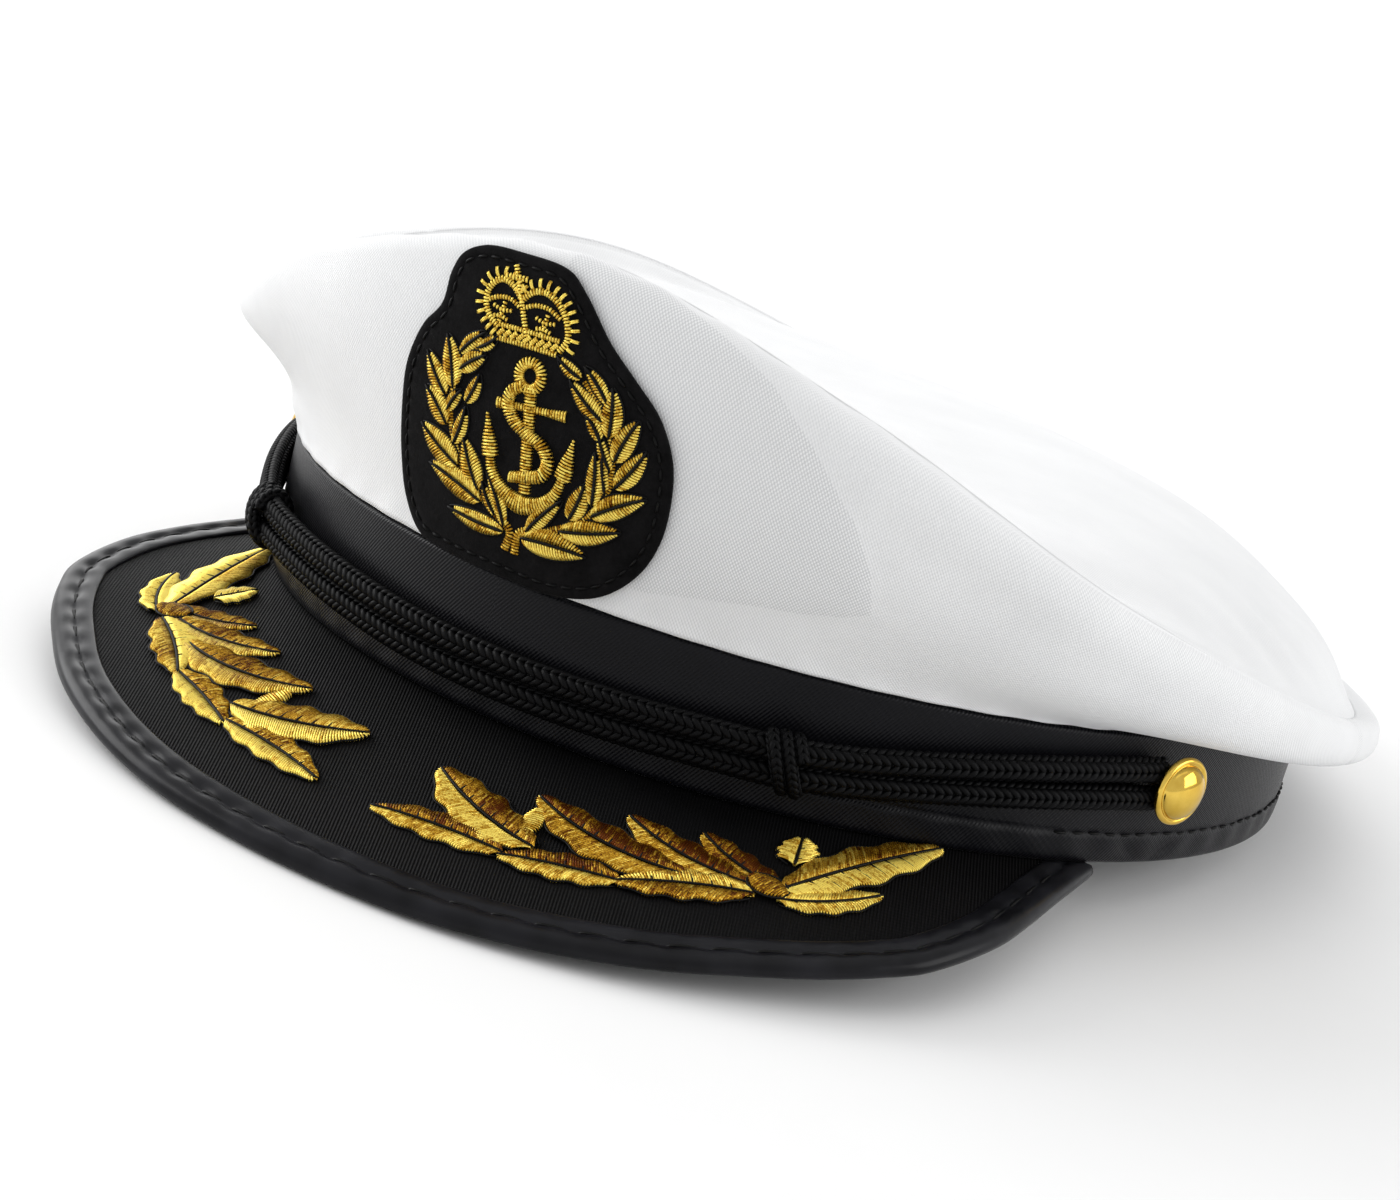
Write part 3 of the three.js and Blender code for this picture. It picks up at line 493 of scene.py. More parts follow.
def plain_weave(name, low, high, pitch, depth, roughness, sheen):
    """White cloth, darker between its threads over the front stay: partly the stay showing through, partly
    painted shade on the front of the crown.
    """
    material, tree, shader = nodes_of(name)
    across, along = cloth_axes(tree)
    weave = times(tree, wave(tree, across, pitch), wave(tree, along, pitch))
    inside = node(tree, "ShaderNodeAttribute", attribute_name="lining").outputs["Fac"]
    lining = node(tree, "ShaderNodeClamp")
    tree.links.new(times(tree, inside, 2.5), lining.inputs["Value"])
    clouds = noise(tree, 60, 4)
    fibre = noise(tree, 2600, 2)
    shade = plus(tree, times(tree, weave, 0.22), spread(tree, clouds, 0.45, 0.75))
    # darker over the front stay: partly the stay showing through, partly painted shade
    stay_and_painted_shade = times(tree, lining.outputs[0], plus(tree, times(tree, weave, 0.12), -0.045))
    shade = plus(tree, shade, times(tree, stay_and_painted_shade, 5.0))
    paint(tree, shader, shade, low, high, 0.2, 0.85)
    roughen(tree, shader, fibre, roughness - 0.08, roughness + 0.08)
    set_values(shader, Sheen_Weight=sheen, Sheen_Roughness=0.4)
    bumps(tree, shader, [(weave, depth, 0.5), (fibre, depth * 0.5, 0.3), (clouds, 0.2, 0.06)])
    return material


def twill(name, low, high, pitch, turn, depth, roughness, sheen, specular, steps=0.35):
    material, tree, shader = nodes_of(name)
    across, along = cloth_axes(tree, turn)
    ribs = wave(tree, across, pitch)
    cloth = plus(tree, ribs, times(tree, wave(tree, along, pitch * 1.7), steps))
    clouds = noise(tree, 90, 4)
    lint = noise(tree, 1500, 3)
    shade = plus(tree, times(tree, cloth, 0.28), times(tree, clouds, 0.9))
    paint(tree, shader, shade, low, high, 0.1, 0.9)
    roughen(tree, shader, lint, roughness - 0.07, roughness + 0.07)
    set_values(shader, Sheen_Weight=sheen, Sheen_Roughness=0.35, Specular_IOR_Level=specular)
    bumps(tree, shader, [(cloth, depth, 0.6), (lint, depth * 0.6, 0.3), (clouds, 0.2, 0.15)])
    return material


def felt(name, low, high):
    material, tree, shader = nodes_of(name)
    fibre = noise(tree, 1400, 6, 0.75)
    clouds = noise(tree, 260, 4)
    paint(tree, shader, times(tree, plus(tree, fibre, clouds), 0.5), low, high, 0.35, 0.68)
    set_values(shader, Roughness=0.95, Sheen_Weight=0.03, Sheen_Roughness=0.5, Specular_IOR_Level=0.08)
    bumps(tree, shader, [(fibre, 0.22, 0.8), (clouds, 0.3, 0.5)])
    return material


def vinyl(name, low, high):
    material, tree, shader = nodes_of(name)
    grain_and_glints = noise(tree, 900, 3)
    waves = noise(tree, 120, 2)
    paint(tree, shader, waves, low, high, 0.3, 0.75)
    roughen(tree, shader, waves, 0.24, 0.36)
    set_values(shader, Specular_IOR_Level=0.14)
    bumps(tree, shader, [(grain_and_glints, 0.02, 0.25), (waves, 0.35, 0.35)])
    return material


def yarn(name, low, high, roughness, specular, metallic=0.0, middle=None):
    """Thread coloured by each stitch's own tint, which carries the painted shade, highlight and glints its
    callers give it, plus painted glints from a fine noise.
    """
    material, tree, shader = nodes_of(name)
    tint = node(tree, "ShaderNodeAttribute", attribute_name="tint").outputs["Fac"]
    # painted glints: fine noise that lightens and darkens the thread colour in small spots
    grain_and_glints = math_node(tree, "SUBTRACT", noise(tree, 3600, 1), 0.5)
    paint(tree, shader, plus(tree, tint, times(tree, grain_and_glints, 1.1)), low, high, 0.05, 0.95, middle)
    strands = noise(tree, 5200, 2)
    roughen(tree, shader, strands, roughness - 0.06, roughness + 0.08)
    set_values(shader, Metallic=metallic, Specular_IOR_Level=specular)
    bumps(tree, shader, [(strands, 0.05, 0.4)])
    return material


def polished(name, low, high):
    material, tree, shader = nodes_of(name)
    # random blotches between a darker and a lighter brass; the darker colour is a painted reflection standing
    # in for dark surroundings
    blotches_and_painted_reflection = noise(tree, 180, 4)
    scratches = noise(tree, 2400, 5, 0.7)
    paint(tree, shader, blotches_and_painted_reflection, low, high, 0.3, 0.7)
    roughen(tree, shader, blotches_and_painted_reflection, 0.07, 0.16)
    set_values(shader, Metallic=1.0)
    bumps(tree, shader, [(scratches, 0.01, 0.15)])
    return material


white_cloth = plain_weave("white_cloth", (0.64, 0.645, 0.655), (0.87, 0.875, 0.88), pitch=0.55, depth=0.06,
                          roughness=0.85, sheen=0.1)
band_satin = twill("band_satin", (0.0013, 0.0013, 0.0022), (0.0048, 0.0048, 0.0068), pitch=0.52, turn=38,
                   depth=0.04, roughness=0.38, sheen=0.02, specular=0.15)
peak_twill = twill("peak_twill", (0.0012, 0.0012, 0.0014), (0.0042, 0.004, 0.0044), pitch=0.5, turn=-28,
                   depth=0.12, roughness=0.62, sheen=0.003, specular=0.07, steps=0.1)
edge_vinyl = vinyl("edge_vinyl", (0.004, 0.004, 0.005), (0.013, 0.013, 0.016))
patch_felt = felt("patch_felt", (0.0015, 0.0014, 0.0015), (0.008, 0.0075, 0.008))
gold_yarn = yarn("gold_yarn", (0.10, 0.022, 0.0005), (1.0, 0.79, 0.16), roughness=0.35, specular=0.2,
                 metallic=0.75, middle=(0.54, 0.29, 0.018))
black_yarn = yarn("black_yarn", (0.001, 0.001, 0.001), (0.004, 0.004, 0.004), roughness=0.5, specular=0.15)
braid_yarn = yarn("braid_yarn", (0.0006, 0.0006, 0.0008), (0.003, 0.003, 0.0036), roughness=0.5, specular=0.1)
# the darker of these two brass colours stands in for dark reflections: painted reflection
brass = polished("brass", (0.60, 0.36, 0.04), (0.86, 0.60, 0.12))


# Crown

def turn_angles(count):
    return np.arange(count) * 360 / count


def sheet_places(around, ups):
    """Places on a cloth that runs once around the head, for each angle and height."""
    girth = np.arange(around + 1) / around * GIRTH
    return np.stack(np.meshgrid(girth, ups, indexing="ij"), -1)


def crown_side():
    around, up, under = 600, 68, 16
    angles = turn_angles(around)[:, None]
    shares = np.linspace(0, 1, up) ** 0.94
    profile = side_profile(angles, shares)
    outer = profile + side_normal(angles, shares) * side_relief(angles, shares)[..., None]
    low = np.linspace(1, 0, under)
    inner = side_profile(angles, low) - side_normal(angles, low) * CLOTH
    loop = np.concatenate([outer, inner], 1)
    points = oval(angles, loop[..., 0], loop[..., 1])
    lengths = np.linalg.norm(np.diff(profile, axis=1), axis=-1).mean(0)
    heights = np.concatenate([[0], np.cumsum(lengths)])
    heights = np.concatenate([heights, heights[-1] * low, [0]])
    sheet = Sheet()
    sheet.shell(points, sheet_places(around, heights), True)
    piece = sheet.make("crown_side_cloth", white_cloth, "white_cloth", ["crown_side"])
    # Depth into the front stay, read by the cloth's material: there the cloth is painted darker, partly for
    # the stay showing through and partly as painted shade
    depth = np.full(points.shape[:2], -1.0)
    depth[:, :up] = stay_depth(angles, shares)
    lining = piece.data.attributes.new("lining", "FLOAT", "POINT")
    lining.data.foreach_set("value", depth.astype(np.float32).ravel())


def top_height(edge, share, angle):
    """Height of the top panel: dome, valley behind the crest, slack, fans, gathers and rolled edge."""
    centre = BAND_HEIGHT + TOP_HEIGHT
    standing = np.maximum(edge - BAND_HEIGHT, 0) / RISE
    valley = TOP_VALLEY * standing * bump_at(share, 0.9, 0.07)
    rim = centre + (edge - centre) * share ** 4.4 + TOP_DOME * (1 - share ** 2) - valley
    a = turned(angle)
    slack = 0.4 * ripple(a, 4, 0.3) * ripple(share * 220, 1, 0.5)
    slack = slack + 0.15 * ripple(a, 9, 1.1) * ripple(share * 150, 1, 2.0)
    fans = 0.45 * ripple(a, 40, 0.5) * bump_at(a, 90, 14) * bump_at(share, 0.9, 0.1)
    gathers = 0.32 * ripple(a, 46, 0) * bump_at(np.abs(a), 14, 26) * bump_at(share, 0.95, 0.05)
    fill = 1.5 * bump_at(share, 0.92, 0.07) * bump_at(a, 120, 26)
    hold = np.clip((1 - share) / 0.06, 0, 1)
    hold = hold * hold * (3 - 2 * hold)
    roll = -0.2 * bump_at(share, 0.985, 0.006) - 0.5 * bump_at(share, 0.94, 0.04) * bump_at(a, 45, 32)
    return np.where(share < 1, rim + (slack * share ** 1.5 + fans + gathers + fill) * hold + roll, edge)


def crown_top():
    around, rings, under_every = 480, 64, 4
    angles = turn_angles(around)
    shares = 1 - np.linspace(0, 1, rings) ** 1.5 * 0.985
    seam = side_profile(angles, 1 + 0 * angles)
    normal = side_normal(angles, 1 + 0 * angles)
    way = np.stack([-normal[:, 1], normal[:, 0]], -1)
    rims = [seam + way * SEAM_GAP, seam - normal * CLOTH + way * SEAM_GAP]
    edge, under_edge = [oval(angles, rim[:, 0], rim[:, 1]) for rim in rims]
    centre = np.array([*TOP_CENTRE, 0])
    upper = centre + (edge - centre)[:, None] * shares[None, :, None]
    upper[..., 2] = top_height(edge[:, None, 2], shares, angles[:, None])
    under = upper[:, ::under_every].copy()
    under[..., 2] -= CLOTH
    under[:, 0] = under_edge
    sheet = Sheet()
    sheet.pad([(upper, upper[..., :2]), (under, under[..., :2])])
    sheet.make("crown_top_cloth", white_cloth, "white_cloth", ["crown_top"])


# Band

HEM = 5.0


def band_relief(angle, up):
    a = turned(angle)
    hem = -0.28 * bump_at(up, HEM, 0.35) + 0.18 * (up < HEM)
    pucker = 0.16 * ripple(a, 70, 0.2) * bump_at(up, HEM - 1.6, 2.0)
    crease = 0.35 * bump_at(a - 0.9 * (up - 2), 76, 1.0) * bump_at(up, 2.4, 2.2)
    crease += 0.3 * bump_at(a + 0.7 * (up - 2), 71, 0.9) * bump_at(up, 2.2, 2.0)
    sag = 0.2 * ripple(a, 5, 0.9) * np.sin(np.pi * np.clip(up / BAND_HEIGHT, 0, 1))
    return hem + pucker - crease + sag


def band():
    around, radius, bends, levels = 600, 0.8, 6, 50
    corner = np.linspace(0, np.pi / 2, bends)
    middle = np.linspace(radius, BAND_HEIGHT - radius, levels + 2)[1:-1]
    up = np.concatenate([radius - radius * np.sin(corner[::-1]), middle,
                         BAND_HEIGHT - radius + radius * np.sin(corner)])
    inset = np.concatenate([radius - radius * np.cos(corner[::-1]), np.zeros(levels),
                            radius - radius * np.cos(corner)])
    edge = np.clip(np.minimum(up, BAND_HEIGHT - up) / 1.2, 0, 1)
    angles = turn_angles(around)[:, None]
    out = BAND_FLARE * up / BAND_HEIGHT - inset + band_relief(angles, up) * edge
    low = np.linspace(BAND_HEIGHT, 0, 10)
    inner = np.broadcast_to(BAND_FLARE * low / BAND_HEIGHT - BAND_WALL, (around, len(low)))
    points = oval(angles, np.concatenate([out, inner], 1), np.concatenate([up, low]))
    sheet = Sheet()
    sheet.shell(points, sheet_places(around, np.concatenate([up, low, [0]])), True)
    sheet.make("band_cloth", band_satin, "black_satin", ["band"])


def hem_stitches():
    pitch, length, behind_peak = 3.4, 2.5, 60
    angles = turn_angles(int(GIRTH / pitch))
    angles = angles[np.abs(turned(angles)) > behind_peak]
    reach = np.linspace(-0.5, 0.5, 5)
    spots = angles[:, None] + reach * length / GIRTH * 360
    lift = 0.12 - 0.3 * (2 * np.abs(reach)) ** 3 + BAND_FLARE * HEM / BAND_HEIGHT
    paths = oval(spots, lift + 0 * spots, HEM + 0.1 * ripple(spots, 40, 0))
    sheet = Sheet()
    threads(sheet, paths, outward(spots), 0.24, 0.2)
    sheet.make("band_hem_stitches", black_yarn, "black_satin")


# Peak

def tuck_under(points):
    """Keeps what runs in under the band just below its lower edge."""
    near, top = 0.4, -0.01
    out = (np.hypot(points[..., 0] / HALF_WIDTH, points[..., 1] / HALF_LENGTH) - 1) * HALF_LENGTH
    points[..., 2] = np.where(out < near, np.minimum(points[..., 2], top), points[..., 2])


def peak():
    across, deep, under_every = 260, 56, 4
    ends, clear_of_binding = 66, 1.3
    angles = np.linspace(-ends, ends, across)[:, None]
    span = peak_reach(angles) - clear_of_binding + PEAK_TUCK
    shares = np.linspace(0, 1, deep)
    along = -PEAK_TUCK + shares * span
    top = peak_point(angles, along)
    sag = 0.12 * ripple(angles, 14, 0.5) + 0.06 * ripple(angles, 33, 1.0) * shares
    top[..., 2] += sag * np.sin(np.pi * shares) * np.clip(along / 5, 0, 1)
    top[..., 2] += 0.2 * np.clip(1 - along / 3, 0, 1)
    bottom = peak_point(angles, -PEAK_TUCK + shares[::-under_every] * span)
    bottom[..., 2] -= PEAK_THICKNESS
    points = np.concatenate([top, bottom], 1)
    tuck_under(points)
    sheet = Sheet()
    sheet.shell(points, np.concatenate([points, points[:, :1]], 1)[..., :2], False)
    sheet.make("peak_cloth", peak_twill, "black_twill", ["peak"])


BINDING_STITCH, BINDING_PITCH = 3.7, 6.5
# Binding section: distance in from the edge, height above the middle of the peak
BINDING_SECTION = np.array([
    [6.8, 0.74], [6.78, 0.98], [6.62, 1.18], [6.3, 1.32], [5.7, 1.42], [5.0, 1.42], [4.5, 1.34],
    [4.1, 1.18], [3.7, 1.06], [3.3, 1.2], [2.85, 1.42], [2.2, 1.52], [1.6, 1.46], [1.05, 1.26],
    [0.6, 0.95], [0.22, 0.5], [0.05, 0.0], [0.1, -0.5], [0.32, -0.95], [0.7, -1.28], [1.2, -1.46],
    [2.4, -1.5], [4.2, -1.48], [6.0, -1.5], [6.6, -1.35], [6.8, -1.0], [6.8, -0.74], [4.6, -0.73],
    [1.2, -0.72], [1.2, 0.72], [4.6, 0.73],
])


def edge_angles(step):
    """Angles that run along the peak's edge in nearly even steps of some millimetres."""
    ends, fine_steps = 66.6, 4000
    fine = np.linspace(-ends, ends, fine_steps)
    length = run_length(peak_point(fine, peak_reach(fine)))
    places = np.linspace(0, length[-1], int(length[-1] / step) + 1)
    return np.interp(places, length, fine), places


def edge_frame(angles):
    """Point, way in and way up at each angle of the peak's edge."""
    step, last = 0.4, 65
    reach = peak_reach(angles)
    point = peak_point(angles, reach)
    ahead, behind = angles + step, angles - step
    along = unit(peak_point(ahead, peak_reach(ahead)) - peak_point(behind, peak_reach(behind)))
    up = peak_normal(np.clip(angles, -last, last), np.maximum(reach - 1, 0.5))
    inward = unit(np.cross(up, along))
    back = peak_point(angles, reach - 3) - point
    inward = np.where((inward * back).sum(-1, keepdims=True) < 0, -inward, inward)
    return point, inward, up


def binding():
    angles, places = edge_angles(0.7)
    point, inward, up = edge_frame(angles)
    inset, height = BINDING_SECTION[:, 0], BINDING_SECTION[:, 1]
    upper = height > 0.8
    along = places[:, None]
    pull = 0.13 * np.cos(2 * np.pi * along / BINDING_PITCH) * bump_at(inset, BINDING_STITCH, 1.3) * upper
    pucker = 0.06 * ripple(along * 11, 1, 0.3) * bump_at(inset, 5.6, 1.2) * upper
    pucker = pucker + 0.1 * ripple(along * 4.1, 1, 1.3) * bump_at(inset, 2.2, 1.2) * upper
    wander = 0.1 * ripple(along * 3.1, 1, 0.0) * (inset > 6.2)
    points = point[:, None] + inward[:, None] * (inset + wander)[..., None]
    points += up[:, None] * (height + pull + pucker - PEAK_THICKNESS / 2)[..., None]
    tuck_under(points)
    girth = run_length(np.vstack([BINDING_SECTION, BINDING_SECTION[:1]]))
    sheet = Sheet()
    sheet.shell(points, np.stack(np.meshgrid(places, girth, indexing="ij"), -1), False)
    sheet.make("peak_binding_vinyl", edge_vinyl, "gloss_edging", ["peak_binding"])


def binding_stitches():
    length, ends = 5.0, 12
    angles, places = edge_angles(0.35)
    centres = np.arange(ends, places[-1] - ends, BINDING_PITCH)
    reach = np.linspace(-0.5, 0.5, 8)
    at = np.interp(centres[:, None] + reach * length, places, angles)
    point, inward, up = edge_frame(at)
    lift = 1.12 - PEAK_THICKNESS / 2 - 0.4 * (2 * np.abs(reach)) ** 4
    sheet = Sheet()
    threads(sheet, point + inward * BINDING_STITCH + up * lift[:, None], up, 0.3, 0.24, tint=0.6)
    sheet.make("peak_binding_stitches", black_yarn, "gloss_edging")


# Badge and embroidery

ACROSS_GRID = np.arange(-30, 30.5, 1.0)
UP_GRID = np.arange(19, 74.5, 1.0)


def front_table():
    """Points of the crown's plain front over a grid of widths and heights."""
    rounds, halvings, below_fold = 6, 20, 0.8
    across, up = np.meshgrid(ACROSS_GRID, UP_GRID, indexing="ij")
    out = 0 * across
    for _ in range(rounds):
        angle = np.degrees(np.arcsin(across / (HALF_WIDTH + out)))
        low, high = 0 * across, 0 * across + below_fold
        for _ in range(halvings):
            middle = (low + high) / 2
            under = side_profile(angle, middle)[..., 1] < up
            low, high = np.where(under, middle, low), np.where(under, high, middle)
        out = side_profile(angle, low)[..., 0]
    return oval(angle, out, up)


FRONT = front_table()


def front_point(across, up):
    u = np.clip(across - ACROSS_GRID[0], 0, len(ACROSS_GRID) - 1.001)
    v = np.clip(up - UP_GRID[0], 0, len(UP_GRID) - 1.001)
    i, j = np.floor(u).astype(int), np.floor(v).astype(int)
    s, t = (u - i)[..., None], (v - j)[..., None]
    return ((1 - s) * (1 - t) * FRONT[i, j] + s * (1 - t) * FRONT[i + 1, j]
            + (1 - s) * t * FRONT[i, j + 1] + s * t * FRONT[i + 1, j + 1])


def front_normal(across, up):
    step = 1.5
    right = front_point(across + step, up) - front_point(across - step, up)
    above = front_point(across, up + step) - front_point(across, up - step)
    return unit(np.cross(right, above))


def badge_surface(flat, lift):
    """Points and normals on the badge: width and height in millimetres, and lift off the patch's face."""
    across, up = flat[..., 0], flat[..., 1]
    normal = front_normal(across, up)
    return front_point(across, up) + normal * (PATCH_FACE + np.asarray(lift)[..., None]), normal


DEGREE_LENGTH = 2.0


def peak_surface(side):
    def place(flat, lift):
        angle, reach = side * flat[..., 0] / DEGREE_LENGTH, flat[..., 1]
        normal = peak_normal(angle, reach)
        return peak_point(angle, reach) + normal * np.asarray(lift)[..., None], normal
    return place


CHORD_POWER = 0.7


def even_points(table_x, points, fine, count, endpoint=True):
    """Even points on the smooth curve through some points, and its length."""
    dense = np.stack([smooth_table(np.stack([table_x, column], -1), fine) for column in points.T], -1)
    length = run_length(dense)
    places = np.linspace(0, length[-1], count, endpoint=endpoint)
    return np.stack([np.interp(places, length, column) for column in dense.T], -1), length[-1]


def curve_through(points, count):
    points = np.asarray(points, float)
    chord = run_length(points, CHORD_POWER)
    return even_points(chord, points, np.linspace(0, chord[-1], 200), count)


def closed_curve(points, count):
    before = 3
    padded = np.vstack([points[-before:], points, points[:before + 1]])
    chord = run_length(padded, CHORD_POWER)
    fine = np.linspace(chord[before], chord[before + len(points)], count * 6 + 1)
    return even_points(chord, padded, fine, count, endpoint=False)


def beside(points):
    """Way along a flat path at each of its points, and the way to its left."""
    way = unit(np.gradient(points, axis=0))
    return way, np.stack([-way[:, 1], way[:, 0]], -1)


STITCH_PITCH = 0.44
# Profile of a satin stitch: share of its length, height off the cloth
STITCH = np.array([[0, -0.1], [0.1, 0.3], [0.36, 0.46], [0.66, 0.44], [0.9, 0.28], [1.0, -0.15]])


def satin(gold, place, starts, ends, tint, raise_by, height=1.0, half=0.19):
    """Adds one row of satin stitches, each from its start to its end on the flat surface."""
    flat = starts[:, None] + (ends - starts)[:, None] * STITCH[:, :1]
    length = np.linalg.norm(ends - starts, axis=-1)
    arch = STITCH[:, 1] * height * np.clip(length / 1.6, 0.55, 1.15)[:, None] + raise_by
    paths, normals = place(flat, arch)
    shades = tint + draws.normal(0, 0.09, len(starts))
    # painted glints: each segment of these stitches gets a small random change of tint
    threads(gold, paths, normals, half, 0.18, tint=np.clip(shades, -0.1, 1.1), painted_glints=0.13)


def line(black, place, flat_path, lift, half=0.2):
    """Adds a running line of thread along a flat path."""
    path, _ = curve_through(flat_path, max(4, int(run_length(flat_path)[-1] / 0.7)))
    paths, normals = place(path[None], lift)
    threads(black, paths, normals, half, half * 0.8)


def leaf(gold, black, place, ends, width, tints, bend, raise_by, lobes=0, veins=False, blunt=0.8, full=0.8):
    """A leaf in two rows of slanted satin stitches about a black midrib, from its base to its tip; the two
    rows get their own tints, which paint shade and highlight: one half darker, the other lighter, as light
    would fall on them.
    """
    base, tip = np.reshape(ends, (2, 2))
    axis = tip - base
    length = np.linalg.norm(axis)
    way = axis / length
    side = np.array([-way[1], way[0]])

    def rib(s):
        return base + axis * s[..., None] + side * (bend * 4 * s * (1 - s))[..., None]

    def half_width(s):
        body = np.sin(np.pi * np.clip(s, 0, 1) ** blunt) ** full
        if lobes:
            body = body * (1 + 0.11 * np.cos(2 * np.pi * lobes * np.clip(s, 0, 1)))
        return body * width / 2

    count = max(6, int(length / STITCH_PITCH))
    s = (np.arange(count) + 0.5) / count
    slant = 0.22 * width / length
    out = np.clip(s + slant * (1 - s * 0.55), 0, 1)
    # painted shade and highlight: each half of the leaf gets its own tint
    for sign, tint in zip((1, -1), tints):
        starts = rib(s) + side * sign * 0.12
        tips = rib(out) + side * (sign * half_width(out))[:, None]
        keep = np.linalg.norm(tips - starts, axis=-1) > 0.5
        shades = tint + 0.1 * np.sin(2 * np.pi * s * 1.5 + sign)
        satin(gold, place, starts[keep], tips[keep], shades[keep], raise_by)
        run = np.linspace(0.02, 1, 16)
        rim = rib(run) + side * (sign * (half_width(run) + 0.12))[:, None]
        line(black, place, rim, raise_by + 0.08, 0.17)
        if veins and sign == 1:
            for spot in np.arange(0.16, 0.8, 3.0 / length):
                far = min(spot + slant * 0.45, 1)
                vein = rib(np.array([spot, far]))
                vein[1] += side * half_width(far) * 0.75
                line(black, place, np.array([vein[0], vein.mean(0), vein[1]]), raise_by + 0.52, 0.15)
    line(black, place, rib(np.linspace(0, 1, 14)), raise_by + 0.44, 0.24)


def ribbon(gold, place, path, width, tint, raise_by=0.0, closed=False, slant=0.0):
    """A band of stitches across a path; the width may change along it."""
    path = np.asarray(path, float)
    points, _ = curve_through(path, max(4, int(run_length(path)[-1] / STITCH_PITCH)))
    way, side = beside(points)
    shares = np.linspace(0, 1, len(points))
    widths = np.interp(shares, np.linspace(0, 1, np.size(width)), np.atleast_1d(width))
    half = side * (widths / 2)[:, None] + way * slant
    last = -1 if closed else None
    satin(gold, place, (points - half)[:last], (points + half)[:last], tint, raise_by, 0.9)


def ribbons(gold, place, rows, shift=(0, 0)):
    """Adds ribbons by rows of path, width, tint and raise."""
    for path, width, tint, raise_by in rows:
        ribbon(gold, place, np.array(path) + shift, width, tint, raise_by)


# Badge outline: across, height above the band's lower edge
PATCH_OUTLINE = np.array([
    [-13.9, 68.5], [-6.6, 69.5], [1.5, 69.2], [4.9, 66.8], [10.7, 61.1], [15.6, 57.3], [20.5, 53.1],
    [23.7, 47.4], [24.6, 39.8], [23.9, 34.5], [21.5, 29.1], [16.6, 24.2], [9.8, 22.0], [0, 21.8],
    [-9.8, 21.9], [-16.1, 22.8], [-20.5, 27.4], [-22.7, 33.6], [-23.7, 41.2], [-23.7, 47.8],
    [-21.5, 54.5], [-18.8, 58.3], [-18.3, 63.5], [-17.1, 66.4],
])


# Edge of the patch: distance in from its outline, lift above the crown's cloth
PATCH_LIP = [
    (0.35, 0.35), (0.05, 0.7), (0.0, 1.05), (0.15, 1.38), (0.5, 1.55), (1.1, 1.57), (1.45, 1.5), (1.7, 1.38),
    (1.95, 1.5), (2.4, 1.6),
]
PATCH_TOP, PATCH_UNDER, PATCH_SEAM, PATCH_SIDES = 1.6, 0.3, 1.7, 260


def inset_curve(loop, inset):
    way = unit(np.roll(loop, -1, 0) - np.roll(loop, 1, 0))
    inward = np.stack([way[:, 1], -way[:, 0]], -1)
    sign = np.sign(((loop.mean(0) - loop) * inward).sum(-1).mean())
    return loop + inward * sign * inset


def badge_patch():
    loop, _ = closed_curve(PATCH_OUTLINE, PATCH_SIDES)
    centre = loop.mean(0)

    def shrunk(ring, shares):
        return [centre + (ring - centre) * share for share in shares]

    lip = [inset_curve(loop, inset) for inset, _ in PATCH_LIP]
    flat = np.stack(lip + shrunk(lip[-1], np.linspace(1, 0.04, 30)[1:]), 1)
    lift = np.full(flat.shape[1], PATCH_TOP)
    lift[:len(lip)] = [rise for _, rise in PATCH_LIP]
    under_flat = np.stack(shrunk(inset_curve(loop, PATCH_LIP[0][0]), (1, 0.75, 0.5, 0.25, 0.04)), 1)
    upper, _ = badge_surface(flat, lift - PATCH_FACE - 0.05)
    under, _ = badge_surface(under_flat, PATCH_UNDER - PATCH_FACE)
    sheet = Sheet()
    sheet.pad([(upper, flat), (under, under_flat)])
    sheet.make("badge_patch_felt", patch_felt, "black_felt", ["badge_patch"])


def patch_stitches(black):
    pitch, half = 2.4, 0.38
    outline, _ = closed_curve(PATCH_OUTLINE, PATCH_SIDES)
    loop, length = closed_curve(inset_curve(outline, PATCH_SEAM), PATCH_SIDES * 4)
    count = int(length / pitch)
    reach = np.linspace(-half, half, 5)
    index = ((np.arange(count)[:, None] + reach) / count * len(loop)) % len(loop)
    low = np.floor(index).astype(int)
    share = (index - low)[..., None]
    flat = loop[low % len(loop)] * (1 - share) + loop[(low + 1) % len(loop)] * share
    paths, normals = badge_surface(flat, 0.06 - 0.3 * (np.abs(reach) / half) ** 3)
    threads(black, paths, normals, 0.2, 0.18, tint=0.1)


# Laurel on the badge, left and right as seen: base across, base up, tip across, tip up, width
LEFT_LAUREL = [
    [-0.1, 28.9, -10.8, 29.1, 2.9], [-4.9, 32, -15.7, 34.6, 4.1], [-10.1, 35.9, -18.3, 40.1, 4.2],
    [-13.4, 41.2, -18.6, 45.8, 3.6], [-14.4, 45.5, -19.2, 51, 3.2], [-13.2, 47, -15.9, 54.5, 3.5],
    [-13.2, 52.4, -9.2, 56.8, 2.1], [-10.2, 54.1, -7, 56.9, 1.8], [-12.7, 50, -8.3, 53.6, 2.8],
    [-10.6, 45.5, -8.9, 50.5, 2.3], [-13.8, 43.3, -11.5, 47.3, 2.0], [-11.6, 38.8, -10.3, 45.1, 2.4],
    [-5.7, 33.4, -9.9, 40.5, 3.8], [-0.1, 29.8, -4.6, 36.9, 2.3], [-1.9, 30.9, -5.2, 35.2, 1.8],
]
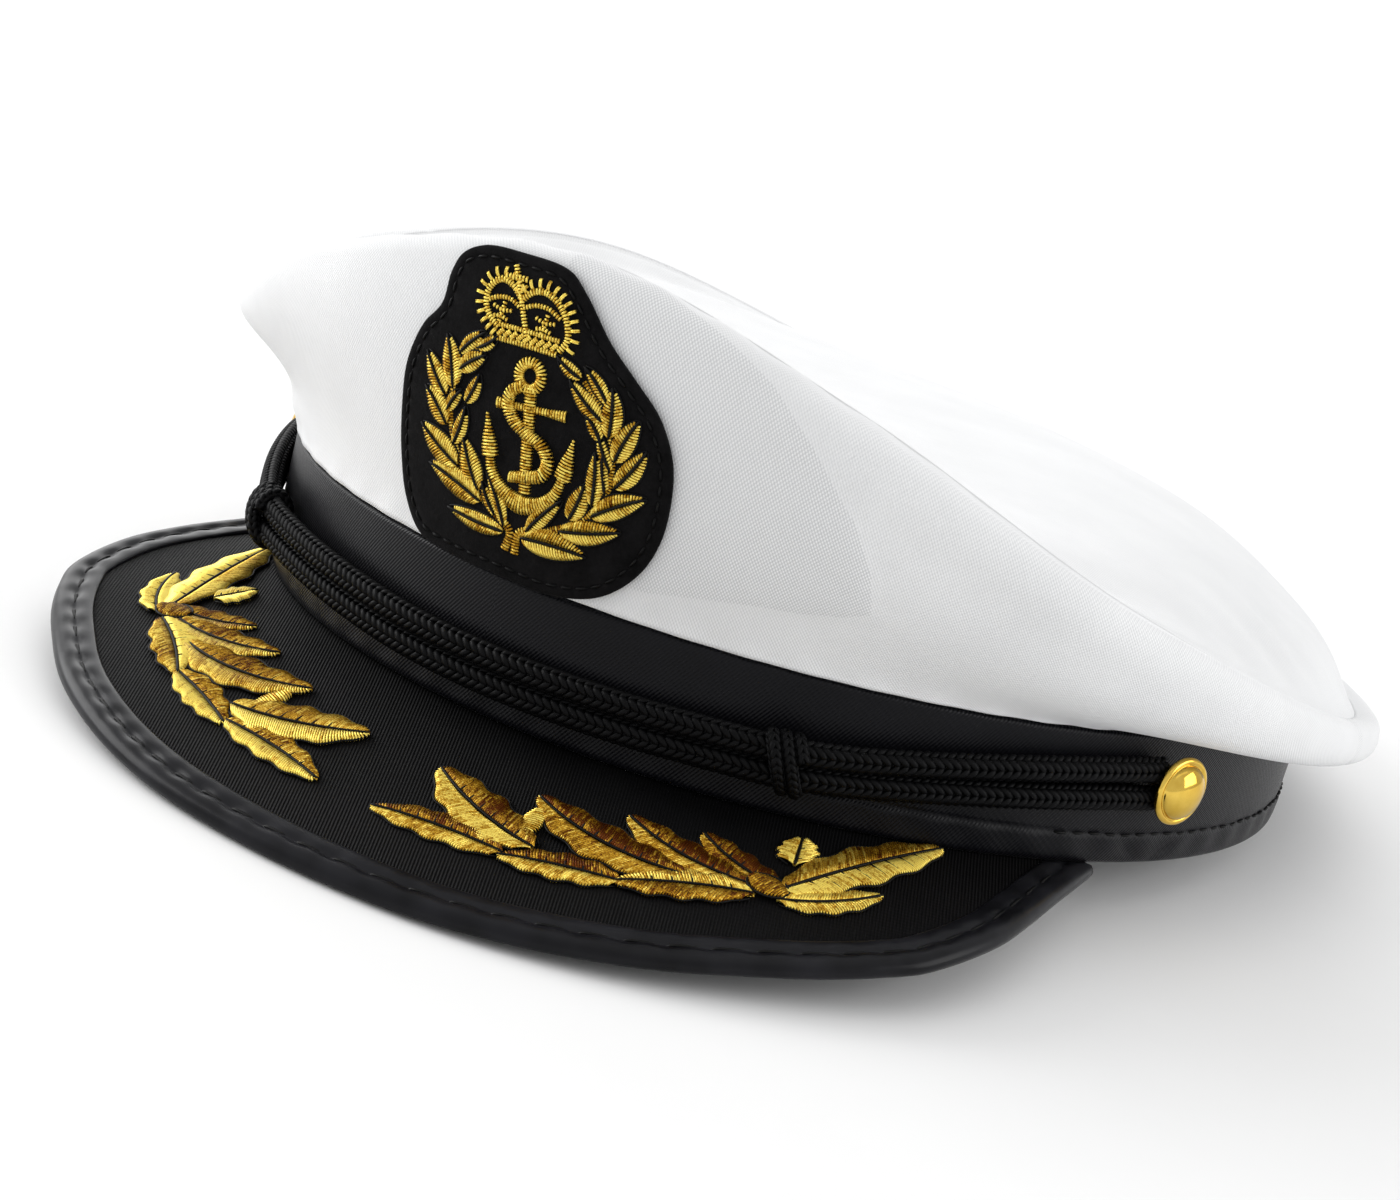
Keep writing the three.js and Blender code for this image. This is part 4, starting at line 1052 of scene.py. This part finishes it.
RIGHT_LAUREL = [
    [3.1, 29.1, 13.9, 29.9, 4.3], [9, 32.3, 18.4, 35.4, 3.6], [13.5, 36.1, 21.3, 41.5, 3.4],
    [16.2, 41.3, 19.9, 48.2, 3.1], [15.5, 45.1, 17.9, 52.2, 3.3], [14, 48.2, 12.9, 55.5, 3.2],
    [12.7, 50.1, 6.1, 54.5, 2.8], [12.6, 53, 7.9, 57.1, 2.1], [7.9, 55.2, 3.3, 57.2, 2.0],
    [12.7, 47.4, 9.7, 50.5, 2.2], [15.2, 43.6, 12.3, 48.5, 1.7], [13.4, 37.7, 12.4, 45.7, 2.8],
    [15.1, 40, 13.6, 45.5, 1.6], [10.2, 34.4, 11.7, 40.5, 3.1], [3.8, 30.3, 8.7, 37, 2.7],
]


LEFT_STEM = [
    (0.6, 26.4), (0.9, 29.2), (-3, 31.4), (-8.4, 35), (-12.4, 40.4), (-13.6, 46), (-12.6, 51), (-10.4, 54.3),
]
RIGHT_STEM = [
    (2.4, 26.3), (2.4, 29.4), (7, 31.4), (12.4, 35.2), (15.2, 40.5), (14.8, 46.2), (12.6, 51), (8.4, 54.8),
]


def laurel(node_name, leaves, stem, black):
    gold = Sheet()
    ribbon(gold, badge_surface, stem, [1.4, 1.1, 1.0, 0.8], 0.5, -0.15)
    for index, (*ends, width) in enumerate(leaves):
        # painted shade and highlight: the two halves of each leaf get the tints 0.6 and 0.86
        leaf(gold, black, badge_surface, ends, width * 1.04, (0.6, 0.86),
             bend=0.25 * (-1) ** index, raise_by=0.06 * (index % 3))
    gold.make(node_name + "_stitches", gold_yarn, "gold_thread", [node_name])


# Ribbons of the badge's crown: path, width, tint, raise
CROWN_BASE = [
    ([(-7.2, 56.6), (-2.2, 57), (2.9, 57.2)], 0.8, 0.8, 0.0),
    ([(-7.3, 58.6), (-2.3, 59), (2.9, 59.2)], 0.65, 0.8, 0.0),
]
CROWN_LINES = [
    ([(-6.9, 67.4), (-5.2, 64.2), (-3.6, 60.8), (-2.4, 58.4)], 0.8, 0.8, 0.1),
    ([(-7.9, 65.7), (-6.2, 65.9), (-4.5, 66.1)], 0.8, 0.85, 0.3),
    ([(-10, 61.6), (-8.4, 62.4), (-6.4, 62.6), (-4.9, 62)], 0.6, 0.75, 0.0),
    ([(-3.9, 62.1), (-2, 63), (0.2, 63.1), (2.2, 62.3)], 0.6, 0.75, 0.0),
]
CROWN_ARCHES = [
    [(-7.6, 58.2), (-9.3, 59.2), (-10.4, 60.6), (-10.7, 62.2), (-10.1, 63.9), (-8.6, 65), (-6.6, 64.6),
     (-4.6, 63.1)],
    [(-4.6, 63.1), (-3, 64.7), (-1.1, 65.2), (0.9, 64.6), (2.6, 63.3), (3.8, 61.4), (4.2, 59.5), (3.4, 57.9)],
]
# Ribbons of a small ornament inside each arch, about its middle: path, width, tint, raise
ORNAMENT = [
    ([(-0.2, -1.4), (0, 0), (0.1, 1.3)], 0.6, 0.8, 0.0),
    ([(-1.5, 0.5), (0, 0.2), (1.5, 0.5)], 0.5, 0.8, 0.1),
    ([(-1.1, -0.9), (0, -0.7), (1.1, -0.9)], 0.5, 0.8, 0.1),
]


def crown_rays(gold, arch):
    """Short rays that stand out from an arch, in pairs of stitches."""
    middle = np.array([-3.4, 60.5])
    points, _ = curve_through(arch, 14)
    _, out = beside(points)
    out = np.where(((points - middle) * out).sum(-1, keepdims=True) < 0, -out, out)
    for point, way in zip(points[:-1], out[:-1]):
        across = np.array([-way[1], way[0]])
        starts = np.array([point + way * 0.45 + across * shift for shift in (-0.12, 0.12)])
        satin(gold, badge_surface, starts, starts + way * 1.4, 0.9, 0.0, 0.9, 0.15)


def badge_crown():
    gold = Sheet()
    place = badge_surface
    ribbons(gold, place, CROWN_BASE)
    for share in np.linspace(0.04, 0.96, 9):
        spot = np.array([-7.25 + 10.1 * share, 57.6 + 0.6 * share])
        ribbon(gold, place, [spot - (0.35, 0.4), spot, spot + (0.35, 0.4)], 0.6, 0.85, 0.05)
    for arch in CROWN_ARCHES:
        ribbon(gold, place, arch, 0.95, 0.85)
        crown_rays(gold, arch)
    ribbons(gold, place, CROWN_LINES)
    for middle in ((-7.4, 60.5), (0.1, 60.8)):
        ribbons(gold, place, ORNAMENT, middle)
    gold.make("badge_crown_stitches", gold_yarn, "gold_thread", ["badge_crown"])


ANCHOR_RING = {"middle": (-0.4, 52.9), "radii": (1.95, 2.0), "width": 1.7}
# Ribbons of the anchor: path, width, tint, raise
ANCHOR_BARS = [
    ([(-4.9, 47.5), (0.9, 48.3), (6.6, 49)], [1.7, 1.1, 1.0, 1.1, 1.7], 0.7, 0.0),
    ([(0.2, 51.2), (0.9, 46.5), (1.6, 41), (2.3, 36)], 1.9, 0.65, 0.08),
]
ANCHOR_ROPE = [
    (-1.2, 51.2), (-2.7, 49.9), (-2.9, 48), (-1.5, 46), (1.2, 44.6), (4.1, 43.6), (5.4, 41.6), (4.8, 39.5),
    (2.6, 38.5), (-0.3, 37.6),
]
ROPE_WIDTHS = [1.6, 2.0, 2.0, 1.9, 1.8, 2.0, 2.0, 1.9, 1.6]
ANCHOR_ARMS = [
    ([(-4.9, 40.2), (-4, 37.4), (-1.6, 35), (1.8, 33.9), (5, 34.9), (7.2, 37.2), (8, 40.2)],
     [1.3, 1.7, 2.3, 3.2, 2.3, 1.7, 1.3], 0.72, 0.1),
]
FLUKE_WIDTHS = np.array([1, 1.0, 0.8, 0.55, 0.3, 0.1])
# Flukes: base, tip, width
ANCHOR_FLUKES = [((-4.6, 39.6), (-6.2, 45.4), 2.8), ((8.1, 40.2), (8.8, 46.1), 2.7)]


def badge_anchor(black):
    gold = Sheet()
    place = badge_surface
    turn = np.linspace(0, 2 * np.pi, 25)
    ring = np.stack([np.sin(turn), np.cos(turn)], -1) * ANCHOR_RING["radii"] + ANCHOR_RING["middle"]
    ribbon(gold, place, ring, ANCHOR_RING["width"], 0.75, closed=True)
    ribbons(gold, place, ANCHOR_BARS)
    ribbon(gold, place, ANCHOR_ROPE, ROPE_WIDTHS, 0.72, 0.5, slant=0.25)
    points, _ = curve_through(ANCHOR_ROPE, 9)
    for point, across in zip(points[1:-1], beside(points)[1][1:-1]):
        line(black, place, np.array([point - across, point, point + across]), 1.0, 0.11)
    ribbons(gold, place, ANCHOR_ARMS)
    for base, tip, width in ANCHOR_FLUKES:
        path = np.linspace(base, tip, 18)
        ribbon(gold, place, path, width * FLUKE_WIDTHS, 0.78, 0.3)
    gold.make("badge_anchor_stitches", gold_yarn, "gold_thread", ["badge_anchor"])


def badge():
    badge_patch()
    black = Sheet()
    patch_stitches(black)
    laurel("badge_laurel_right", LEFT_LAUREL, LEFT_STEM, black)
    laurel("badge_laurel_left", RIGHT_LAUREL, RIGHT_STEM, black)
    badge_crown()
    badge_anchor(black)
    black.make("badge_black_stitches", black_yarn, "black_felt")


# Spray leaves: base along, base reach, tip along, tip reach, width, bend, tint of each half; the two halves'
# tints are painted shade and highlight, one half darker as if turned from the light
SPRAY_LEAVES = [
    [29.5, 27.9, 5.7, 28.6, 6.6, 1.2, 0.2, 0.66],
    [33.0, 24.8, 8.2, 14.8, 9.4, -0.8, 0.26, 0.74],
    [56.7, 21.6, 26.5, 12.8, 8.6, -1.6, 0.06, 0.4],
    [48.5, 26.6, 29.0, 28.6, 6.6, 0.8, 0.16, 0.66],
    [66.9, 20.2, 42.0, 10.4, 7.4, -1.2, 0.1, 0.5],
    [68.0, 22.6, 47.6, 27.0, 7.6, 1.2, 0.74, 0.3],
    [72.2, 20.0, 55.1, 9.4, 6.8, -0.8, 0.04, 0.3],
    [72.2, 12.6, 71.6, 4.6, 7.2, 0.0, 0.8, 0.75],
    [71.5, 20.6, 98.3, 0.6, 10.6, -1.6, 0.85, 0.45],
    [71.6, 22.6, 88.0, 17.0, 6.2, 1.1, 0.75, 0.85],
]


SPRAY_STEM = [(29, 28.2), (38, 26.6), (48, 25.6), (58, 24), (68, 22)]
SPRAY_BERRY = np.array([29.2, 18.9])
SPRAY_KNOB = {"middle": np.array([69.6, 20.1]), "way": np.array([0.87, 0.49]), "radii": (3.9, 2.5)}


def spray(side, node_name, painted_light):
    gold, black = Sheet(), Sheet()
    place = peak_surface(side)
    ribbon(gold, place, SPRAY_STEM, [0.9, 1.1, 1.2, 1.3], 0.4, -0.1)
    for index, (*ends, width, bend, upper, lower) in enumerate(SPRAY_LEAVES):
        # painted light: every tint of this spray is raised by the given amount, so that the spray looks more
        # brightly lit
        leaf(gold, black, place, ends, width, (upper + painted_light, lower + painted_light), bend,
             raise_by=0.12 + 0.14 * (index % 3), lobes=4, veins=True, blunt=0.9, full=0.55)
    berry = [SPRAY_BERRY - (0.4, 2.9), SPRAY_BERRY, SPRAY_BERRY + (0.4, 2.9)]
    ribbon(gold, place, berry, [2.2, 3.6, 3.9, 3.6, 2.2], 0.75, 0.3)
    knob, way, (long, short) = SPRAY_KNOB.values()
    ribbon(gold, place, [knob - way * 3.6, knob, knob + way * 3.6], [1.6, 4.0, 4.6, 4.0, 1.6], 0.3, 0.75)
    turn = np.linspace(0, 2 * np.pi, 17)[:, None]
    left = np.array([-way[1], way[0]])
    line(black, place, knob + long * np.cos(turn) * way + short * np.sin(turn) * left, 0.85)
    gold.make(node_name + "_stitches", gold_yarn, "gold_thread", [node_name])
    black.make(node_name + "_black_stitches", black_yarn, "black_twill")


# Chin cord: angle from the front, height above the band's lower edge, way out
CORD_UPPER = [
    [70.3, 17.0, 2.2], [66, 16.8, 2.2], [56, 15.6, 2.2], [46, 13.6, 2.2], [38, 12.0, 3.1], [32, 11.2, 3.9],
    [26, 10.8, 3.1], [16, 10.2, 2.2], [4, 9.9, 2.2], [-8, 10.1, 2.2], [-20, 10.8, 2.2], [-32, 11.6, 3.1],
    [-38, 12.2, 3.9], [-44, 12.9, 3.1], [-54, 14.9, 2.2], [-64, 16.5, 2.2], [-70.3, 17.0, 2.2],
]
CORD_LOWER = [
    [70.3, 12.2, 2.2], [66, 12.1, 2.2], [56, 11.1, 2.2], [46, 9.5, 2.2], [38, 8.1, 3.1], [32, 7.4, 3.9],
    [26, 7.0, 3.1], [16, 6.3, 2.2], [4, 6.0, 2.2], [-8, 6.2, 2.2], [-20, 6.9, 2.2], [-32, 7.8, 3.1],
    [-38, 8.4, 3.9], [-44, 9.0, 3.1], [-54, 10.7, 2.2], [-64, 11.9, 2.2], [-70.3, 12.2, 2.2],
]
CORD = {"radius": 1.85, "pitch": 1.4, "flatness": 0.9}
KNOT = {"turns": 2.2, "step": 2.0, "points": 220, "out": 3.9, "high": 3.9, "deep": 2.7, "least": -2.2,
        "lean": -1.3, "radius": 1.0, "pitch": 1.1}


def braid(sheet, path, normals, radius, pitch, flatness=1.0):
    """Plaited cord along a path: rows of slanted oval strands that lean by turns one way and the other."""
    rows, strand_points, core_sides, core = 6, 6, 10, 0.8
    overlap, crowding, seat, arch = 0.78, 1.05, 0.86, 0.2
    length = run_length(path)
    way = unit(np.gradient(path, axis=0))
    normals = unit(normals - (normals * way).sum(-1, keepdims=True) * way)
    across = np.cross(way, normals)
    count = int(length[-1] / pitch)
    reach = np.linspace(-1, 1, strand_points)

    def along(values, spots):
        return np.stack([np.interp(spots, length, column) for column in values.T], -1)

    for row in range(rows):
        odd = row % 2
        at = (np.arange(count) + 0.5 + 0.04 * odd) * pitch
        spots = at[:, None] + (1 - 2 * odd) * reach * pitch * overlap
        turn = (row + 0.5) / rows * 2 * np.pi + reach * np.pi / rows * crowding + 0 * spots
        lift = radius * (1 + arch / 2 - arch * reach ** 2) * seat
        spots = np.clip(spots, 0, length[-1])
        radial = along(normals, spots) * np.cos(turn)[..., None] * flatness
        radial = radial + along(across, spots) * np.sin(turn)[..., None]
        paths = along(path, spots) + radial * lift[:, None]
        tints = PLAIN_TINT + draws.normal(0, 0.15, count)
        threads(sheet, paths, unit(radial), pitch * 0.42, radius * 0.24, tint=tints, taper=(0.45, 0.5))
    turn = np.arange(core_sides)[:, None] / core_sides * 2 * np.pi
    inside = radius * core
    loops = (path[:, None] + normals[:, None] * np.cos(turn) * inside * flatness
             + across[:, None] * np.sin(turn) * inside)
    flat = np.stack(np.meshgrid(length, np.arange(core_sides + 1), indexing="ij"), -1)
    sheet.shell(loops, flat, False, tint=0.1)


def cord(name, route, node_name):
    angle, up, out = np.array(route, float).T
    points = oval(angle, out + BAND_FLARE * up / BAND_HEIGHT, up)
    path, _ = curve_through(points, int(run_length(points)[-1] / 0.8))
    angle = np.degrees(np.arctan2(path[:, 0] / HALF_WIDTH, -path[:, 1] / HALF_LENGTH))
    sheet = Sheet()
    braid(sheet, path, outward(angle), CORD["radius"], CORD["pitch"], CORD["flatness"])
    sheet.make(name, braid_yarn, "black_braid", [node_name])


def knot(name, angle, up, node_name):
    """Sliding knot: a thinner plait wound round both strands."""
    share = np.linspace(0, 1, KNOT["points"])
    turn = share * KNOT["turns"] * 2 * np.pi
    along = (share - 0.5) * KNOT["turns"] * KNOT["step"] + KNOT["lean"] * np.cos(turn)
    high = KNOT["high"] * np.cos(turn)
    deep = np.clip(KNOT["deep"] * np.sin(turn), KNOT["least"], KNOT["deep"])
    out = KNOT["out"] + BAND_FLARE * up / BAND_HEIGHT
    path = oval(angle + along / DEGREE_GIRTH, out + deep, up + high)
    centre = oval(angle + along / DEGREE_GIRTH, out, up + high * 0.45)
    sheet = Sheet()
    braid(sheet, path, unit(path - centre), KNOT["radius"], KNOT["pitch"])
    sheet.make(name, braid_yarn, "black_braid", [node_name])


BUTTON = {"radius": 5.6, "up": 14.5, "back": 4.3, "foot": 0.3, "shank": 1.5, "sides": 96}
# Edge of a button: distance in from its rim, height above its back
BUTTON_EDGE = [
    (0.6, -0.1), (0.15, 0.05), (0, 0.35), (0, 0.75), (0.18, 1.05), (0.5, 1.2), (0.85, 1.12), (1.02, 1.0),
]


def button(name, angle, node_name):
    radius, up, back, foot, shank, sides = BUTTON.values()
    edge = [(radius - inset, back + rise) for inset, rise in BUTTON_EDGE]
    dome = [((radius - 1.1) * math.cos(t), back + 0.98 + 2.25 * math.sin(t) ** 1.1)
            for t in np.linspace(0.06, math.pi / 2, 18)]
    profile = np.array([(shank, foot), (shank, back), *edge, *dome[:-1]])
    turn = np.arange(sides)[:, None] / sides * 2 * np.pi
    way = outward(np.array([angle]))[0]
    right = unit(np.cross(way, np.array([0, 0, 1.0])))
    above = np.cross(right, way)
    centre = oval(angle, BAND_FLARE * up / BAND_HEIGHT, up)
    radial = right * np.cos(turn) + above * np.sin(turn)
    points = centre + radial[:, None] * profile[:, :1] + way * profile[:, 1:]
    sheet = Sheet()
    columns = points.shape[1]
    sheet.grid(points, np.zeros((sides + 1, columns, 2)), around=True)
    rim = np.arange(sides) * columns
    sheet.fan(rim, centre + way * foot, True)
    sheet.fan(rim + columns - 1, centre + way * dome[-1][1], False)
    sheet.make(name, brass, "brass", [node_name])


crown_side()
crown_top()
band()
hem_stitches()
peak()
binding()
binding_stitches()
badge()
spray(1, "spray_left", 0.0)
# painted light: the right spray's tints are raised by 0.25, so it looks more brightly lit than the left one
spray(-1, "spray_right", 0.25)
cord("cord_upper_braid", CORD_UPPER, "cord_upper")
cord("cord_lower_braid", CORD_LOWER, "cord_lower")
knot("cord_knot_left_braid", 32, 9.3, "cord_knot_left")
knot("cord_knot_right_braid", -38, 10.3, "cord_knot_right")
button("button_left_brass", 71.6, "button_left")
button("button_right_brass", -71.6, "button_right")


# Floor, lights and camera

CAMERA = {"place": (0.25570, -0.47642, 0.18190), "azimuth": 29.028, "elevation": 16.911, "roll": 13.613,
          "lens": 83.834, "sensor": 36}
SKY = 0.74
# Area lights: name, place, target, size, power
LIGHTS = [
    ("top", (0.25, -0.1, 1.5), (0, 0, 0.03), (1.5, 1.5), 2),
    ("left_back", (-1.5, 1.65, 0.75), (0, 0, 0.03), (2.1, 1.35), 17),
    ("left_front", (-1.25, -0.25, 0.55), (0, 0, 0.04), (1.0, 0.8), 13),
    ("right", (1.3, 0.4, 0.55), (0, 0, 0.04), (1.0, 0.8), 7),
]


def placed(name, data):
    made = bpy.data.objects.new(name, data)
    bpy.context.scene.collection.objects.link(made)
    return made


def floor():
    reach = 60.0
    corners = [(-reach, -reach, 0), (reach, -reach, 0), (reach, reach, 0), (-reach, reach, 0)]
    mesh = bpy.data.meshes.new("floor")
    mesh.from_pydata(corners, [], [(0, 1, 2, 3)])
    material, tree, shader = nodes_of("floor_paper")
    paint(tree, shader, noise(tree, 40), (0.90, 0.90, 0.90), (0.92, 0.92, 0.92))
    set_values(shader, Roughness=0.9, Specular_IOR_Level=0.1)
    mesh.materials.append(material)
    placed("floor", mesh)


def light(name, place, target, size, power):
    data = bpy.data.lights.new(name, "AREA")
    data.shape = "RECTANGLE"
    data.size, data.size_y = size
    data.energy = power
    lamp = placed(name, data)
    lamp.location = place
    lamp.rotation_euler = (Vector(target) - Vector(place)).to_track_quat("-Z", "Y").to_euler()


def camera():
    data = bpy.data.cameras.new("camera")
    data.lens = CAMERA["lens"]
    data.sensor_fit = "HORIZONTAL"
    data.sensor_width = CAMERA["sensor"]
    data.clip_start, data.clip_end = 0.01, 200
    azimuth, elevation, roll = [math.radians(CAMERA[name]) for name in ("azimuth", "elevation", "roll")]
    level = math.cos(elevation)
    back = Vector((math.sin(azimuth) * level, -math.cos(azimuth) * level, math.sin(elevation)))
    right = Vector((math.cos(azimuth), math.sin(azimuth), 0))
    up = back.cross(right)
    side = math.cos(roll) * right + math.sin(roll) * up
    over = math.cos(roll) * up - math.sin(roll) * right
    made = placed("camera", data)
    made.matrix_world = Matrix.Translation(CAMERA["place"]) @ Matrix((side, over, back)).transposed().to_4x4()
    bpy.context.scene.camera = made


def sky(strength):
    made = bpy.data.worlds.new("studio")
    made.use_nodes = True
    background = made.node_tree.nodes["Background"]
    background.inputs["Color"].default_value = (1, 1, 1, 1)
    background.inputs["Strength"].default_value = strength
    bpy.context.scene.world = made


floor()
camera()
sky(SKY)
for row in LIGHTS:
    light(*row)
bpy.context.scene.view_settings.view_transform = "Standard"
